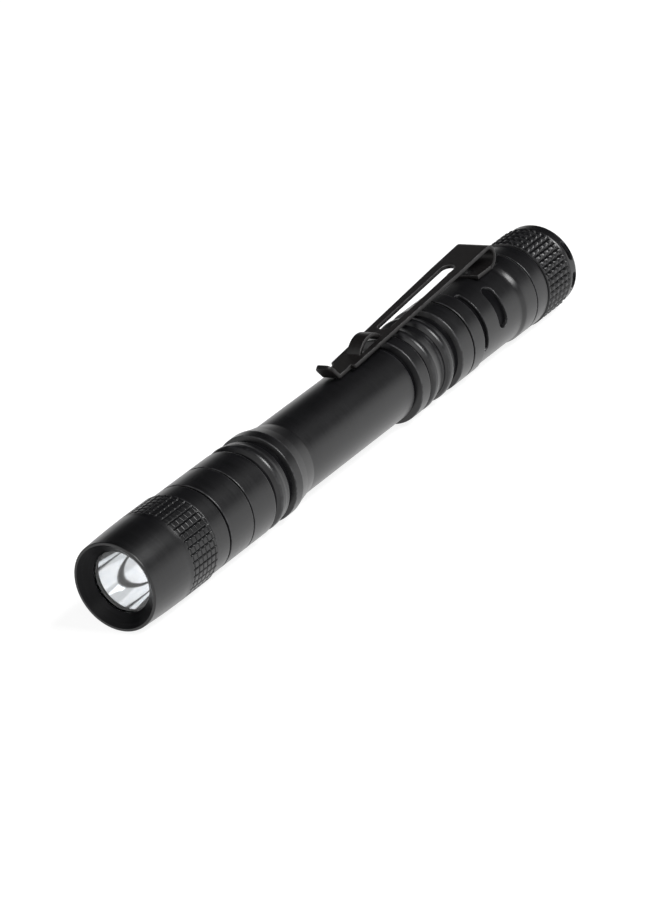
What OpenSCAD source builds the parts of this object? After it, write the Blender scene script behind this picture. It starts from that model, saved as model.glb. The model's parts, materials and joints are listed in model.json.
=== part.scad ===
// Ultraviolet pen torch for checking banknotes: two cells in a turned aluminium tube,
// a screw-on head with the light module, a screw-on tail cap with the switch, and a sheet steel clip.
// The axis runs along X from the lens rim to the tail; the clip points up. All stations along the
// pen are counted from the lens rim, in millimetres.

/* [Cells] */
// Diameter of one cell over its wrap
cell_diameter = 10.4; // [8:0.1:16]
// Length of one cell with its front contact
cell_length = 44.5; // [30:0.5:70]

/* [Barrel] */
// Wall of the slim tube around the cells
slim_wall = 0.9; // [0.8:0.05:2]
// Height of the ribs and bands above the slim tube
rib_height = 0.9; // [0.75:0.05:2]
// Turn of one thread, the same for the head and the tail cap
thread_pitch = 1; // [0.8:0.1:1.2]

/* [Head] */
// Length of the head from the rim to its joint with the barrel
head_length = 26.1; // [25:0.1:34]
// Radius of the window opening
window_radius = 4.9; // [3.5:0.05:5]
// Number of axial cuts in both knurls
knurl_count = 40; // [16:1:44]

/* [Clip] */
// Width of the clip's blade
clip_width = 5.9; // [4.6:0.1:7.2]
// Length of the clip from its front lip to the rear bend
clip_reach = 48.9; // [42:0.1:58]
// Thickness of the clip's sheet
clip_sheet = 0.7; // [0.5:0.05:0.85]

/* [Tail] */
// Travel of the tail button
button_travel = 1.3; // [0.8:0.05:1.4]
// Radius of the tail button
button_radius = 3.2; // [2.6:0.05:3.4]

/* [Hidden] */

round_fn = 96;
small_fn = 48;
eps = 0.01;
running_gap = 0.1;

// radii of the family, from the cells outwards
cell_r = cell_diameter / 2;
bore_r = cell_r + 0.2;
slim_r = bore_r + slim_wall;
rib_r = slim_r + rib_height;
flange_r = rib_r + 0.05;
knurl_r = rib_r + 0.25;
rim_r = rib_r - 0.07;
waist_r = rib_r - 0.27;
valley_r = rib_r - 0.7;
neck_minor_r = bore_r + 0.45;
neck_major_r = bore_r + 0.75;
socket_r = neck_major_r + 0.1;
optic_r = bore_r + 0.4;
neck_seal_wire = 0.22;
neck_seal_floor_r = neck_minor_r - 0.1;
neck_seal_r = neck_seal_floor_r + neck_seal_wire + eps;
axis_height = knurl_r;

// details that the turned parts share: broken edges, bore mouths, scribed grooves, thread and seal lands
edge_break = 0.12;
fine_step = 0.1;
mouth_flare = 0.15;
mouth_depth = 0.2;
scribe_depth = 0.3;
scribe_width = 0.2;
scribe_run = 0.15;
thread_lead = 0.4;
thread_tail = 2.6;
crest_start = 0.3;
crest_end = 0.45;
root_start = 0.75;
land_start = 1.9;
seal_start = 1.4;
seal_slope = 0.05;
seal_end = 0.6;
seal_mid = (seal_start + seal_end) / 2;

// cuts of the knurls: the head's are fine, the tail cap's are deep
head_cut_depth = 0.16;
head_axial_depth = 0.2;
head_cut_lead = 0.18;
head_cut_tail = 0.07;
tail_cut_depth = 0.3;
tail_axial_depth = 0.32;
tail_cut_lead = 0.15;
entry_depth = 0.22;
entry_start = 0.4;
entry_floor = 0.28;

// stations of the head
rim_land = 0.2;
recess_depth = 1.7;
lip_end = 2;
lens_thickness = 1;
lens_end = lip_end + lens_thickness;
seal_wire = 0.3;
reflector_start = lens_end + 2 * seal_wire;
swell_start = 9.4;
head_knurl_length = 6.5;
head_knurl_rows = 6;
head_knurl_end = swell_start + head_knurl_length;
head_groove = head_knurl_end + 3.8;
neck_start = head_length - 7.1;
socket_start = neck_start - 0.4;
joint_gap = 0.3;

// stations of the light module, which the head clamps against the barrel's neck
board_front = 11.1;
board_thickness = 1;
reflector_end = board_front - 0.7;
pill_front = board_front + board_thickness;
pill_end = neck_start - 0.02;
pill_wall = 1.5;
pill_r = optic_r - running_gap;
driver_front = pill_end - 2;
driver_thickness = 0.9;
driver_rear = driver_front + driver_thickness;
cup_r = pill_r - 0.8;
lead_offset = 3.9;
lead_r = 0.35;
lead_gap = 0.3;

// stations of the cells
cells_start = neck_start + 2;
nub_length = 1;
nub_r = 1.9;
can_r = cell_r - 0.1;
cells_mid = cells_start + cell_length;
cells_end = cells_mid + cell_length;

// stations of the barrel's front
barrel_start = head_length + joint_gap;
band_end = barrel_start + 5.8;
crest = band_end + 2.1;
crest_rear = crest + 1.4;
black_groove = crest_rear + 1.1;
flange_start = black_groove + 1.3;
flange_end = flange_start + 1.7;
cone_end = flange_end + 4.6;

// falls and rises of the barrel's rings
soft_run = 0.35;
fall_run = 0.55;
floor_run = 0.65;
rise_drop = 0.15;
rise_run = 0.3;
crest_run = 0.6;
black_run = 0.4;
cone_bend_run = 2;
cone_bend_share = 0.55;
relief_depth = 0.25;
relief_run = 0.2;
rib_crest_drop = 0.06;
rib_crest_run = 0.4;
rib_b_run = 3.1;
rib_b_floor_run = 0.5;
rib_c_run = 2.1;
rib_c_floor_run = 0.8;
rib_floor_rise = 0.05;
thin_slot_half = 0.65;
thin_slot_first = 25;
thin_slot_last = 109;
wide_slot_half = 1.3;
wide_slot_first = 47;
wide_slot_last = 87;
slot_depth = 0.45;
slim_break = 0.08;
valley_run = 0.7;
step_soft = 0.4;
step_drop = 0.08;

// stations of the rear, counted back from the joint with the tail cap
barrel_end = cells_end + 2.1;
cap_start = barrel_end + joint_gap;
step_end = barrel_end - 3.4;
step_start = step_end - 1.4;
wide_slot_mid = barrel_end - 10.5;
thin_slot_mid = barrel_end - 16.2;
band_e_end = barrel_end - 17.1;
band_groove = barrel_end - 20.6;
band_d_start = barrel_end - 24.1;
rib_c = barrel_end - 28;
rib_b = barrel_end - 32.6;
band_a_end = barrel_end - 34.4;
band_a_start = barrel_end - 36.7;
slim_end = band_a_start - 1.2;
socket_depth = 7.5;

// stations of the tail cap
skirt_start = barrel_end - 7.1;
cap_knurl_start = cap_start + 3.7;
cap_knurl_length = 7.2;
cap_knurl_rows = 5;
cap_knurl_end = cap_knurl_start + cap_knurl_length;
cap_end = cap_knurl_end + 2.8;
end_wall = 1.1;
recess_floor = cap_end - 3;
wall_front = recess_floor - end_wall;
recess_r = rib_r - 2.2;
end_round = 1;
lanyard_mid = cap_end - 1.3;

// stations of the switch
tail_spring_end = cells_end + 4;
ring_front = tail_spring_end - 1.1;
switch_board_thickness = 1;
housing_front = tail_spring_end + switch_board_thickness;
flange_thickness = 0.7;
flange_rear = wall_front - 0.05;
flange_front = flange_rear - flange_thickness;
housing_rear = flange_front - button_travel - 0.1;
housing_r = min(4.6, bore_r - 0.6);
housing_wall = 0.6;
housing_floor = housing_front + 0.6;
terminal = [1.4, 0.3, 1.4];
terminal_offset = housing_r - 1.1;
plunger_r = 1.5;
collar_r = 2.2;
collar_thickness = 0.7;
collar_rear = housing_rear - housing_wall - 0.1;
collar_front = collar_rear - collar_thickness;
button_end = cap_end - 0.4;

// the clip; heights are above the pen's axis
seat_height = waist_r - 0.18;
foot_top = seat_height + clip_sheet;
bend_r = 2.05;
bend_x = barrel_end - 5.35;
bend_height = seat_height + bend_r + 0.025;
blade_slope = 4.8;
rivet_r = 0.75;
rivet_head_r = 1.1;
rivet_x = barrel_end - socket_depth - rivet_r - 0.2;
foot_length = bend_x - rivet_x + rivet_head_r + 0.1;
clip_tip = bend_x + bend_r - clip_reach;
lip_root = 3.4;
lip_length = 3.2;
lip_rise = 54;
lip_lean = lip_rise - blade_slope;
lip_width = clip_width * 0.53;
front_width = clip_width * 0.78;
lip_run = clip_sheet / 2 * sin(lip_lean) + lip_length * cos(lip_lean);
blade_front = clip_tip + lip_run + lip_root * cos(blade_slope);
slot_width = clip_width * 0.41;
slot_rear = bend_x - 8.2;
slot_front = slot_rear - clip_reach * 0.41;
hump_rear = slot_front - 3.2;
hump_length = 6.8;
hump_front = hump_rear - hump_length;
hump_mid = (hump_front + hump_rear) / 2;
hump_width = clip_width * 0.42;
hump_rise = 1.7;

total_length = cap_end;

// ---- helpers ----

// puts children, drawn with their axis along Z from the lens rim, into the part's frame
module along_pen() {
    translate([-total_length / 2, 0, axis_height])
        rotate([0, 90, 0])
            children();
}

// puts children, drawn with X along the pen and Z as height above its axis, into the part's frame
module beside_pen() {
    translate([-total_length / 2, 0, axis_height])
        children();
}

// a turned solid from a list of [radius, station] corners
module turned(corners) {
    along_pen()
        rotate_extrude($fn = round_fn)
            polygon(corners);
}

// a plain tube between two stations
module tube(outer, inner, from, to) {
    turned([[inner, from], [outer, from], [outer, to], [inner, to]]);
}

// a plain disc between two stations
module disc(radius, from, to) {
    along_pen()
        translate([0, 0, from])
            cylinder(r = radius, h = to - from, $fn = round_fn);
}

// a round seal: a ring of wire around the axis
module seal(centre_r, wire_r, station) {
    along_pen()
        translate([0, 0, station])
            rotate_extrude($fn = round_fn)
                translate([centre_r, 0])
                    circle(r = wire_r, $fn = small_fn);
}

// the corners of a row of V cuts along a turned surface
function v_rows(radius, depth, half, from, length, rows) = [
    for (row = [0 : rows - 1])
        let (mid = from + (row + 0.5) * length / rows)
            for (corner = [[radius, mid - half], [radius - depth, mid], [radius, mid + half]]) corner
];

// the corners of thread crests, as plain rings
function crests(minor, major, from, count) = [
    for (turn = [0 : count - 1])
        let (start = from + turn * thread_pitch)
            for (corner = [
                [minor, start], [major, start + thread_pitch * crest_start],
                [major, start + thread_pitch * crest_end], [minor, start + thread_pitch * root_start]
            ]) corner
];

// the corners of a threaded neck's end: a land, the seal's groove and the shoulder
function neck_end(joint) = [
    [neck_minor_r, joint - land_start], [neck_major_r, joint - land_start + fine_step],
    [neck_major_r, joint - seal_start], [neck_seal_floor_r, joint - seal_start + seal_slope],
    [neck_seal_floor_r, joint - seal_end - seal_slope], [neck_major_r, joint - seal_end],
    [neck_major_r, joint]
];

// V cuts along the pen, spread around a knurl
module axial_cuts(radius, depth, from, length) {
    side = depth * sqrt(2);
    along_pen()
        for (cut = [0 : knurl_count - 1])
            rotate([0, 0, cut * 360 / knurl_count])
                translate([radius, 0, from])
                    rotate([0, 0, 45])
                        translate([-side / 2, -side / 2, 0])
                            cube([side, side, length]);
}

// a milled slot that runs around the pen between two angles from the clip, one on each side
module round_slot(floor_r, half_width, station, first, last) {
    beside_pen() {
        slot_body(floor_r, half_width, station, first, last);
        mirror([0, 1, 0])
            slot_body(floor_r, half_width, station, first, last);
    }
}

// the slot's cutter on one side: a sector of a ring with a round end at each limit
module slot_body(floor_r, half_width, station, first, last) {
    reach = rib_r + 2;
    plunge_depth = 0.12;
    plunge_relief = 0.03;
    rotate([0, 90, 0])
        rotate([0, 0, 180 - last])
            translate([0, 0, station - half_width])
                rotate_extrude(angle = last - first, $fn = round_fn)
                    translate([floor_r, 0])
                        square([reach - floor_r, 2 * half_width]);
    for (limit = [first, last])
        rotate([-limit, 0, 0])
            translate([station, 0, floor_r - plunge_depth])
                cylinder(r = half_width + plunge_relief, h = reach, $fn = small_fn);
}

// a coil spring of round wire around the axis, with closed ends
module coil(first_r, last_r, from, to, turns, wire_r) {
    sides = 8;
    rings_per_turn = 20;
    count = ceil(turns * rings_per_turn);
    dead = 0.8;
    closed = dead * 2 * wire_r * 1.05;
    open = to - from - 2 * wire_r - 2 * closed;
    along_pen()
        translate([0, 0, from + wire_r])
            polyhedron(
                points = [
                    for (ring = [0 : count])
                        let (
                            turn = ring / rings_per_turn,
                            middle = min(max(turn - dead, 0), turns - 2 * dead),
                            ends = min(turn, dead) + max(turn - turns + dead, 0),
                            lift = open * middle / (turns - 2 * dead) + closed * ends / dead,
                            radius = first_r + (last_r - first_r) * turn / turns,
                            angle = turn * 360
                        )
                            for (side = [0 : sides - 1])
                                let (
                                    around = side * 360 / sides,
                                    reach = radius + wire_r * cos(around)
                                )
                                    [reach * cos(angle), reach * sin(angle), lift + wire_r * sin(around)]
                ],
                faces = concat(
                    [[for (side = [0 : sides - 1]) side]],
                    [
                        for (ring = [0 : count - 1], side = [0 : sides - 1])
                            let (next = (side + 1) % sides, here = ring * sides, there = here + sides)
                                for (face = [
                                    [here + side, there + side, there + next],
                                    [here + side, there + next, here + next]
                                ]) face
                    ],
                    [[for (side = [sides - 1 : -1 : 0]) count * sides + side]]
                )
            );
}

// ---- head ----

module head_shell() {
    swell_share = 0.55;
    entry_rise = 0.02;
    exit_depth = 0.2;
    color("#1c1d20")
        difference() {
            turned(concat(
                [
                    [rim_r - rim_land * 2, 0], [rim_r - rim_land / 2, 0], [rim_r, rim_land / 2],
                    [rib_r + edge_break, swell_start * swell_share],
                    [knurl_r - entry_rise, swell_start - entry_start],
                    [knurl_r - entry_depth, swell_start - entry_floor],
                    [knurl_r - entry_depth, swell_start - fine_step], [knurl_r, swell_start]
                ],
                v_rows(
                    knurl_r, head_cut_depth, head_cut_depth,
                    swell_start, head_knurl_length, head_knurl_rows
                ),
                [
                    [knurl_r, head_knurl_end - fine_step], [rib_r - exit_depth, head_knurl_end],
                    [rib_r - exit_depth, head_knurl_end + scribe_run],
                    [rib_r, head_knurl_end + 2 * scribe_run],
                    [rib_r, head_groove - fine_step], [rib_r - scribe_depth, head_groove],
                    [rib_r - scribe_depth, head_groove + scribe_width],
                    [rib_r, head_groove + scribe_width + scribe_run],
                    [rib_r, head_length - edge_break], [rib_r - edge_break, head_length],
                    [socket_r + mouth_flare, head_length], [socket_r, head_length - mouth_depth],
                    [socket_r, socket_start], [optic_r, socket_start],
                    [optic_r, lip_end], [window_radius, lip_end],
                    [window_radius, recess_depth]
                ]
            ));
            axial_cuts(
                knurl_r, head_axial_depth, swell_start - head_cut_lead,
                head_cut_lead + head_knurl_length + head_cut_tail
            );
        }
}

module front_lens() {
    color("#dfe8f2")
        disc(optic_r - running_gap, lip_end, lens_end);
}

module lens_o_ring() {
    centre_r = optic_r - 0.5;
    color("#101010")
        seal(centre_r, seal_wire - eps, lens_end + seal_wire);
}

// ---- light module ----

// radius of the bowl at a share of its depth, a parabola from the neck to the mouth
function bowl(neck, mouth, share) = neck + (mouth - neck) * sqrt(share);

module reflector() {
    depth = reflector_end - reflector_start;
    mouth = window_radius + 0.1;
    neck = 2;
    steps = 12;
    wall = 0.5;
    color("#d9dcdf")
        turned(concat(
            [
                for (step = [0 : steps])
                    [bowl(neck, mouth, step / steps), reflector_end - depth * step / steps]
            ],
            [[optic_r - 0.2, reflector_start], [optic_r - 0.2, reflector_start + 0.8]],
            [
                for (step = [steps - 2 : -1 : 0])
                    [bowl(neck, mouth, step / steps) + wall, reflector_end - depth * step / steps]
            ]
        ));
}

module led_gasket() {
    outer_r = 4.2;
    inner_r = 2.6;
    color("#e9e6da")
        tube(outer_r, inner_r, reflector_end, board_front);
}

module uv_led() {
    body = 3.4;
    dome_r = 1.45;
    color("#e6e2b8")
        beside_pen() {
            translate([reflector_end, -body / 2, -body / 2])
                cube([board_front - reflector_end, body, body]);
            translate([reflector_end + eps, 0, 0])
                difference() {
                    sphere(r = dome_r, $fn = small_fn);
                    translate([0, -dome_r * 2, -dome_r * 2])
                        cube(dome_r * 4);
                }
        }
}

module led_board() {
    notch_r = 0.7;
    color("#f2f2ee")
        along_pen()
            difference() {
                translate([0, 0, board_front])
                    cylinder(r = pill_r - 0.5, h = board_thickness, $fn = round_fn);
                for (side = [-1, 1])
                    translate([0, side * lead_offset, board_front - 1])
                        cylinder(r = notch_r, h = board_thickness + 2, $fn = small_fn);
            }
}

module led_pill() {
    color("#c9a24a")
        difference() {
            turned([
                [0, pill_front], [pill_r, pill_front], [pill_r, pill_end],
                [cup_r + mouth_flare, pill_end],
                [cup_r, pill_end - mouth_depth], [cup_r, pill_front + pill_wall], [0, pill_front + pill_wall]
            ]);
            along_pen()
                for (side = [-1, 1])
                    translate([0, side * lead_offset, pill_front - 1])
                        cylinder(r = lead_r + lead_gap, h = pill_wall + 2, $fn = small_fn);
        }
}

module led_leads() {
    pad = 0.25;
    pad_r = lead_r * 1.8;
    lead_start = board_front + 0.3;
    color("#c0392b")
        along_pen()
            for (side = [-1, 1]) {
                translate([0, side * lead_offset, lead_start])
                    cylinder(r = lead_r, h = driver_front - lead_start, $fn = small_fn);
                translate([0, side * lead_offset, driver_front - pad])
                    cylinder(r = pad_r, h = pad, $fn = small_fn);
            }
}

module driver_board() {
    color("#1f6b3a")
        disc(cup_r - 2 * eps, driver_front, driver_rear);
}

module driver_parts() {
    chip = [0.8, 3, 2.4];
    part = [0.6, 1.2, 0.7];
    corner = -2.2;
    part_step = 1.6;
    color("#22242a")
        beside_pen() {
            translate([driver_front - chip[0], -chip[1] / 2, -chip[2] / 2 + 1])
                cube(chip);
            for (row = [0 : 2])
                translate([driver_front - part[0], corner + row * part_step, corner])
                    cube(part);
        }
}

module front_contact_spring() {
    board_r = 2.6;
    tip_r = 1.2;
    wire_r = 0.25;
    turns = 4.5;
    color("#d8b25a")
        coil(board_r, tip_r, driver_rear, cells_start - eps, turns, wire_r);
}

// ---- barrel ----

// the corners of the barrel's visible front: band, ring, black groove, flange and cone
function barrel_front() = [
    [rib_r - edge_break, barrel_start], [rib_r, barrel_start + edge_break],
    [rib_r, band_end - soft_run], [rib_r - edge_break, band_end],
    [valley_r, band_end + fall_run], [valley_r, band_end + fall_run + floor_run],
    [rib_r - rise_drop, crest - rise_run], [rib_r, crest],
    [rib_r - fine_step, crest + crest_run], [rib_r - 2 * fine_step, crest_rear],
    [rib_r - soft_run, black_groove - scribe_width], [valley_r - fine_step, black_groove],
    [valley_r - fine_step, black_groove + black_run], [flange_r - fine_step, flange_start - edge_break],
    [flange_r, flange_start], [flange_r, flange_end],
    [slim_r + rib_height * cone_bend_share, flange_end + cone_bend_run],
    [slim_r, cone_end], [slim_r, slim_end - slim_break],
    [slim_r - slim_break, slim_end], [slim_r - relief_depth, slim_end + relief_run],
    [slim_r - relief_depth, slim_end + 3 * relief_run]
];

// the corners of the ribs between the slim tube and the slots
function barrel_ribs() = [
    [rib_r - fine_step, band_a_start - fine_step], [rib_r, band_a_start],
    [rib_r, band_a_end], [valley_r, band_a_end + valley_run],
    [valley_r, band_a_end + valley_run + scribe_width],
    [rib_r - 2 * fine_step, rib_b - rise_run], [rib_r, rib_b],
    [rib_r - rib_crest_drop, rib_b + rib_crest_run],
    [valley_r + rib_floor_rise, rib_b + rib_b_run],
    [valley_r + rib_floor_rise, rib_b + rib_b_run + rib_b_floor_run],
    [rib_r - 2 * fine_step, rib_c - rise_run], [rib_r, rib_c],
    [rib_r - rib_crest_drop, rib_c + rib_crest_run],
    [valley_r + rise_drop, rib_c + rib_c_run],
    [valley_r - rise_drop, rib_c + rib_c_run + relief_run],
    [valley_r - rise_drop, rib_c + rib_c_run + relief_run + rib_c_floor_run],
    [rib_r - fine_step, band_d_start - fine_step], [rib_r, band_d_start]
];

// the corners of the scribed band, the waist with the slots and the flange at the tail joint
function barrel_rear() = [
    [rib_r, band_groove - scribe_run],
    [rib_r - scribe_depth, band_groove - scribe_run + fine_step],
    [rib_r - scribe_depth, band_groove + scribe_run],
    [rib_r, band_groove + 2 * scribe_run],
    [rib_r, band_e_end - scribe_run], [waist_r, band_e_end],
    [waist_r, step_start], [waist_r + edge_break, step_start + step_soft],
    [flange_r - step_drop, step_end - step_soft], [flange_r, step_end],
    [flange_r, barrel_end - edge_break], [flange_r - edge_break, barrel_end],
    [socket_r + mouth_flare, barrel_end], [socket_r, barrel_end - mouth_depth],
    [socket_r, barrel_end - socket_depth], [bore_r, barrel_end - socket_depth]
];

module barrel() {
    neck_crests = floor((barrel_start - neck_start - thread_tail) / thread_pitch);
    slot_floor_r = waist_r - slot_depth;
    color("#1c1d20")
        difference() {
            turned(concat(
                [[bore_r, neck_start], [neck_minor_r, neck_start]],
                crests(neck_minor_r, neck_major_r, neck_start + thread_lead, neck_crests),
                neck_end(barrel_start),
                barrel_front(),
                barrel_ribs(),
                barrel_rear()
            ));
            round_slot(slot_floor_r, thin_slot_half, thin_slot_mid, thin_slot_first, thin_slot_last);
            round_slot(slot_floor_r, wide_slot_half, wide_slot_mid, wide_slot_first, wide_slot_last);
            clip_seat();
            rivet_hole(bore_r - 1);
        }
}

module head_o_ring() {
    color("#101010")
        seal(neck_seal_r, neck_seal_wire, barrel_start - seal_mid);
}

// the flat pocket in which the clip's foot lies
module clip_seat() {
    front_gap = 0.2;
    side_gap = 0.15;
    rear_gap = 0.4;
    beside_pen()
        translate([bend_x - foot_length - front_gap, -clip_width / 2 - side_gap, seat_height])
            cube([front_gap + foot_length + bend_r + rear_gap, clip_width + 2 * side_gap, rib_r]);
}

module rivet_hole(from) {
    beside_pen()
        translate([rivet_x, 0, from])
            cylinder(r = rivet_r, h = rib_r, $fn = small_fn);
}

module cell(from) {
    nub_edge = 0.2;
    shoulder = 0.5;
    edge = 0.4;
    top = from + nub_length;
    color("#b9bcc0")
        turned([
            [0, from], [nub_r - nub_edge, from], [nub_r, from + nub_edge], [nub_r, top],
            [can_r - shoulder, top], [can_r, top + edge],
            [can_r, from + cell_length - edge], [can_r - edge, from + cell_length], [0, from + cell_length]
        ]);
}

module wrap(from) {
    skin = 0.08;
    inner_r = can_r + 0.02;
    end_gap = 0.5;
    tube(inner_r + skin, inner_r, from + nub_length + end_gap, from + cell_length - end_gap);
}

module cell_front() {
    cell(cells_start);
}

module cell_front_wrap() {
    color("#7d1f2a")
        wrap(cells_start);
}

module cell_rear() {
    cell(cells_mid);
}

module cell_rear_wrap() {
    color("#7d1f2a")
        wrap(cells_mid);
}

// ---- clip ----

module clip_foot() {
    bend_gap = 0.03;
    color("#17181a")
        difference() {
            beside_pen()
                translate([bend_x - foot_length, -clip_width / 2, seat_height])
                    cube([foot_length - bend_gap, clip_width, clip_sheet]);
            rivet_hole(bore_r - 1);
        }
}

module clip_rivet() {
    head_height = 0.4;
    rivet_foot = bore_r + 0.1;
    color("#8d9094")
        beside_pen()
            translate([rivet_x, 0, 0]) {
                translate([0, 0, rivet_foot])
                    cylinder(r = rivet_r, h = foot_top - rivet_foot, $fn = small_fn);
                translate([0, 0, foot_top])
                    cylinder(r = rivet_head_r, h = head_height, $fn = small_fn);
            }
}

// a length of the strip's side view: a bar whose outer face starts at [x, height]
module strip_side(length, angle) {
    rotate([0, 0, angle])
        translate([-length, -clip_sheet])
            square([length, clip_sheet]);
}

// the strip's side view in X and height: rear bend, blade and flared lip
module clip_side() {
    straight = (bend_x - blade_front) / cos(blade_slope) + lip_root;
    reach = 3 * bend_r;
    translate([bend_x, bend_height]) {
        difference() {
            intersection() {
                circle(r = bend_r, $fn = round_fn);
                polygon([
                    [0, 0], reach * [-sin(blade_slope), cos(blade_slope)],
                    [reach, reach], [reach, -reach], [0, -reach]
                ]);
            }
            circle(r = bend_r - clip_sheet, $fn = round_fn);
        }
        rotate([0, 0, blade_slope])
            translate([0, bend_r]) {
                strip_side(straight, 0);
                translate([-straight, -clip_sheet / 2])
                    rotate([0, 0, -lip_rise])
                        translate([0, clip_sheet / 2])
                            strip_side(lip_length, 0);
                translate([-straight, -clip_sheet / 2])
                    circle(d = clip_sheet, $fn = small_fn);
            }
    }
}

// the strip's outline from above: a tapered blade, a narrower round-cornered lip and the long slot
module clip_plan() {
    corner = 0.4;
    lip_corner = 0.9;
    taper_end = slot_rear;
    rear_end = bend_x + bend_r + 1;
    difference() {
        union() {
            polygon([
                [blade_front + corner, -front_width / 2], [taper_end, -clip_width / 2],
                [rear_end, -clip_width / 2], [rear_end, clip_width / 2],
                [taper_end, clip_width / 2], [blade_front + corner, front_width / 2]
            ]);
            translate([blade_front, -front_width / 2 + corner])
                square([corner + 1, front_width - 2 * corner]);
            for (side = [-1, 1])
                translate([blade_front + corner, side * (front_width / 2 - corner)])
                    circle(r = corner, $fn = small_fn);
            translate([clip_tip + lip_corner, -lip_width / 2])
                square([blade_front - clip_tip, lip_width]);
            translate([clip_tip - 1, -lip_width / 2 + lip_corner])
                square([1 + 2 * lip_corner, lip_width - 2 * lip_corner]);
            for (side = [-1, 1])
                translate([clip_tip + lip_corner, side * (lip_width / 2 - lip_corner)])
                    circle(r = lip_corner, $fn = small_fn);
        }
        for (end = [slot_front, slot_rear])
            translate([end, 0])
                circle(d = slot_width, $fn = small_fn);
        translate([slot_front, -slot_width / 2])
            square([slot_rear - slot_front, slot_width]);
        translate([hump_front + clip_sheet, -hump_width / 2])
            square([hump_length - 2 * clip_sheet, hump_width]);
    }
}

// height of the blade's outer face above the axis at a station
function blade_top(station) =
    bend_height + bend_r / cos(blade_slope) - (bend_x - station) * tan(blade_slope);

// the loop pressed up from the blade: a half-round bridge
module clip_hump() {
    half = hump_length / 2;
    rise = hump_rise + clip_sheet;
    radius = (half * half + rise * rise) / (2 * rise);
    beside_pen()
        translate([hump_mid, hump_width / 2, blade_top(hump_mid) - clip_sheet])
            rotate([90, -blade_slope, 0])
                linear_extrude(hump_width)
                    intersection() {
                        difference() {
                            translate([0, rise - radius])
                                circle(r = radius, $fn = round_fn);
                            translate([0, rise - radius])
                                circle(r = radius - clip_sheet, $fn = round_fn);
                        }
                        translate([-half, 0])
                            square([hump_length, rise + 1]);
                    }
}

module pocket_clip() {
    color("#17181a") {
        intersection() {
            beside_pen()
                translate([0, clip_width, 0])
                    rotate([90, 0, 0])
                        linear_extrude(2 * clip_width)
                            clip_side();
            beside_pen()
                linear_extrude(3 * rib_r)
                    clip_plan();
        }
        clip_hump();
    }
}

// ---- tail cap ----

module tail_cap() {
    skirt_crests = floor((cap_start - skirt_start - thread_tail) / thread_pitch);
    end_r = flange_r - seal_slope;
    round_steps = 6;
    hole_r = button_radius + running_gap;
    color("#1c1d20")
        difference() {
            turned(concat(
                [[bore_r, skirt_start], [neck_minor_r, skirt_start]],
                crests(neck_minor_r, neck_major_r, skirt_start + thread_lead, skirt_crests),
                neck_end(cap_start),
                [
                    [flange_r - edge_break, cap_start], [flange_r, cap_start + edge_break],
                    [flange_r, cap_knurl_start - 2 * scribe_run],
                    [flange_r - scribe_run, cap_knurl_start - scribe_run], [knurl_r, cap_knurl_start]
                ],
                v_rows(
                    knurl_r, tail_cut_depth, tail_cut_depth,
                    cap_knurl_start, cap_knurl_length, cap_knurl_rows
                ),
                [
                    [knurl_r, cap_knurl_end - fine_step], [flange_r - scribe_run, cap_knurl_end],
                    [end_r, cap_knurl_end + scribe_width]
                ],
                [
                    for (step = [0 : round_steps])
                        let (turn = step * 90 / round_steps)
                            [end_r - end_round * (1 - cos(turn)), cap_end - end_round * (1 - sin(turn))]
                ],
                [
                    [recess_r + mouth_depth, cap_end], [recess_r, cap_end - mouth_depth],
                    [recess_r, recess_floor], [hole_r, recess_floor], [hole_r, wall_front],
                    [bore_r, wall_front]
                ]
            ));
            axial_cuts(
                knurl_r, tail_axial_depth, cap_knurl_start - tail_cut_lead,
                tail_cut_lead + cap_knurl_length
            );
            lanyard_slots();
        }
}

// four short slots through the end wall, two on each side, for a thin cord
module lanyard_slots() {
    half = 0.65;
    spread = 9;
    for (side = [-1, 1])
        for (mid = [64, 109])
            for (turn = [-spread : spread / 3 : spread])
                beside_pen()
                    rotate([side * (mid + turn), 0, 0])
                        translate([lanyard_mid, 0, recess_r - 1])
                            cylinder(r = half, h = rib_r, $fn = small_fn);
}

module tail_o_ring() {
    color("#101010")
        seal(neck_seal_r, neck_seal_wire, cap_start - seal_mid);
}

module retaining_ring() {
    notch = 1.2;
    notch_offset = bore_r - 0.7;
    notch_reach = 1.5;
    color("#c9a24a")
        difference() {
            tube(bore_r - eps, bore_r - notch, ring_front, tail_spring_end - 2 * eps);
            beside_pen()
                for (side = [-1, 1])
                    translate([ring_front - 1, side * notch_offset - notch / 2, -notch / 2])
                        cube([notch_reach, notch, notch]);
        }
}

// ---- switch ----

module tail_spring() {
    centre_r = 3.4;
    wire_r = 0.3;
    turns = 4.5;
    color("#d8b25a")
        coil(centre_r, centre_r, cells_end + eps, tail_spring_end, turns, wire_r);
}

module switch_board() {
    color("#1f6b3a")
        disc(bore_r - 0.1, tail_spring_end, housing_front);
}

module switch_terminals() {
    color("#d8b25a")
        beside_pen()
            for (side = [-1, 1])
                translate([
                    housing_front, side * terminal_offset - terminal[1] / 2, -terminal[2] / 2
                ])
                    cube(terminal);
}

module switch_housing() {
    edge = 0.3;
    room_r = collar_r + 2 * running_gap;
    pocket = terminal + 2 * eps * [1, 1, 1];
    color("#2b2c30")
        difference() {
            turned([
                [0, housing_front], [housing_r, housing_front], [housing_r, housing_rear - edge],
                [housing_r - edge, housing_rear], [plunger_r + running_gap, housing_rear],
                [plunger_r + running_gap, housing_rear - housing_wall],
                [room_r, housing_rear - housing_wall],
                [room_r, housing_floor], [0, housing_floor]
            ]);
            beside_pen()
                for (side = [-1, 1])
                    translate([
                        housing_front - 1, side * terminal_offset - pocket[1] / 2, -pocket[2] / 2
                    ])
                        cube([1 + terminal[0] + eps, pocket[1], pocket[2]]);
        }
}

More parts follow.
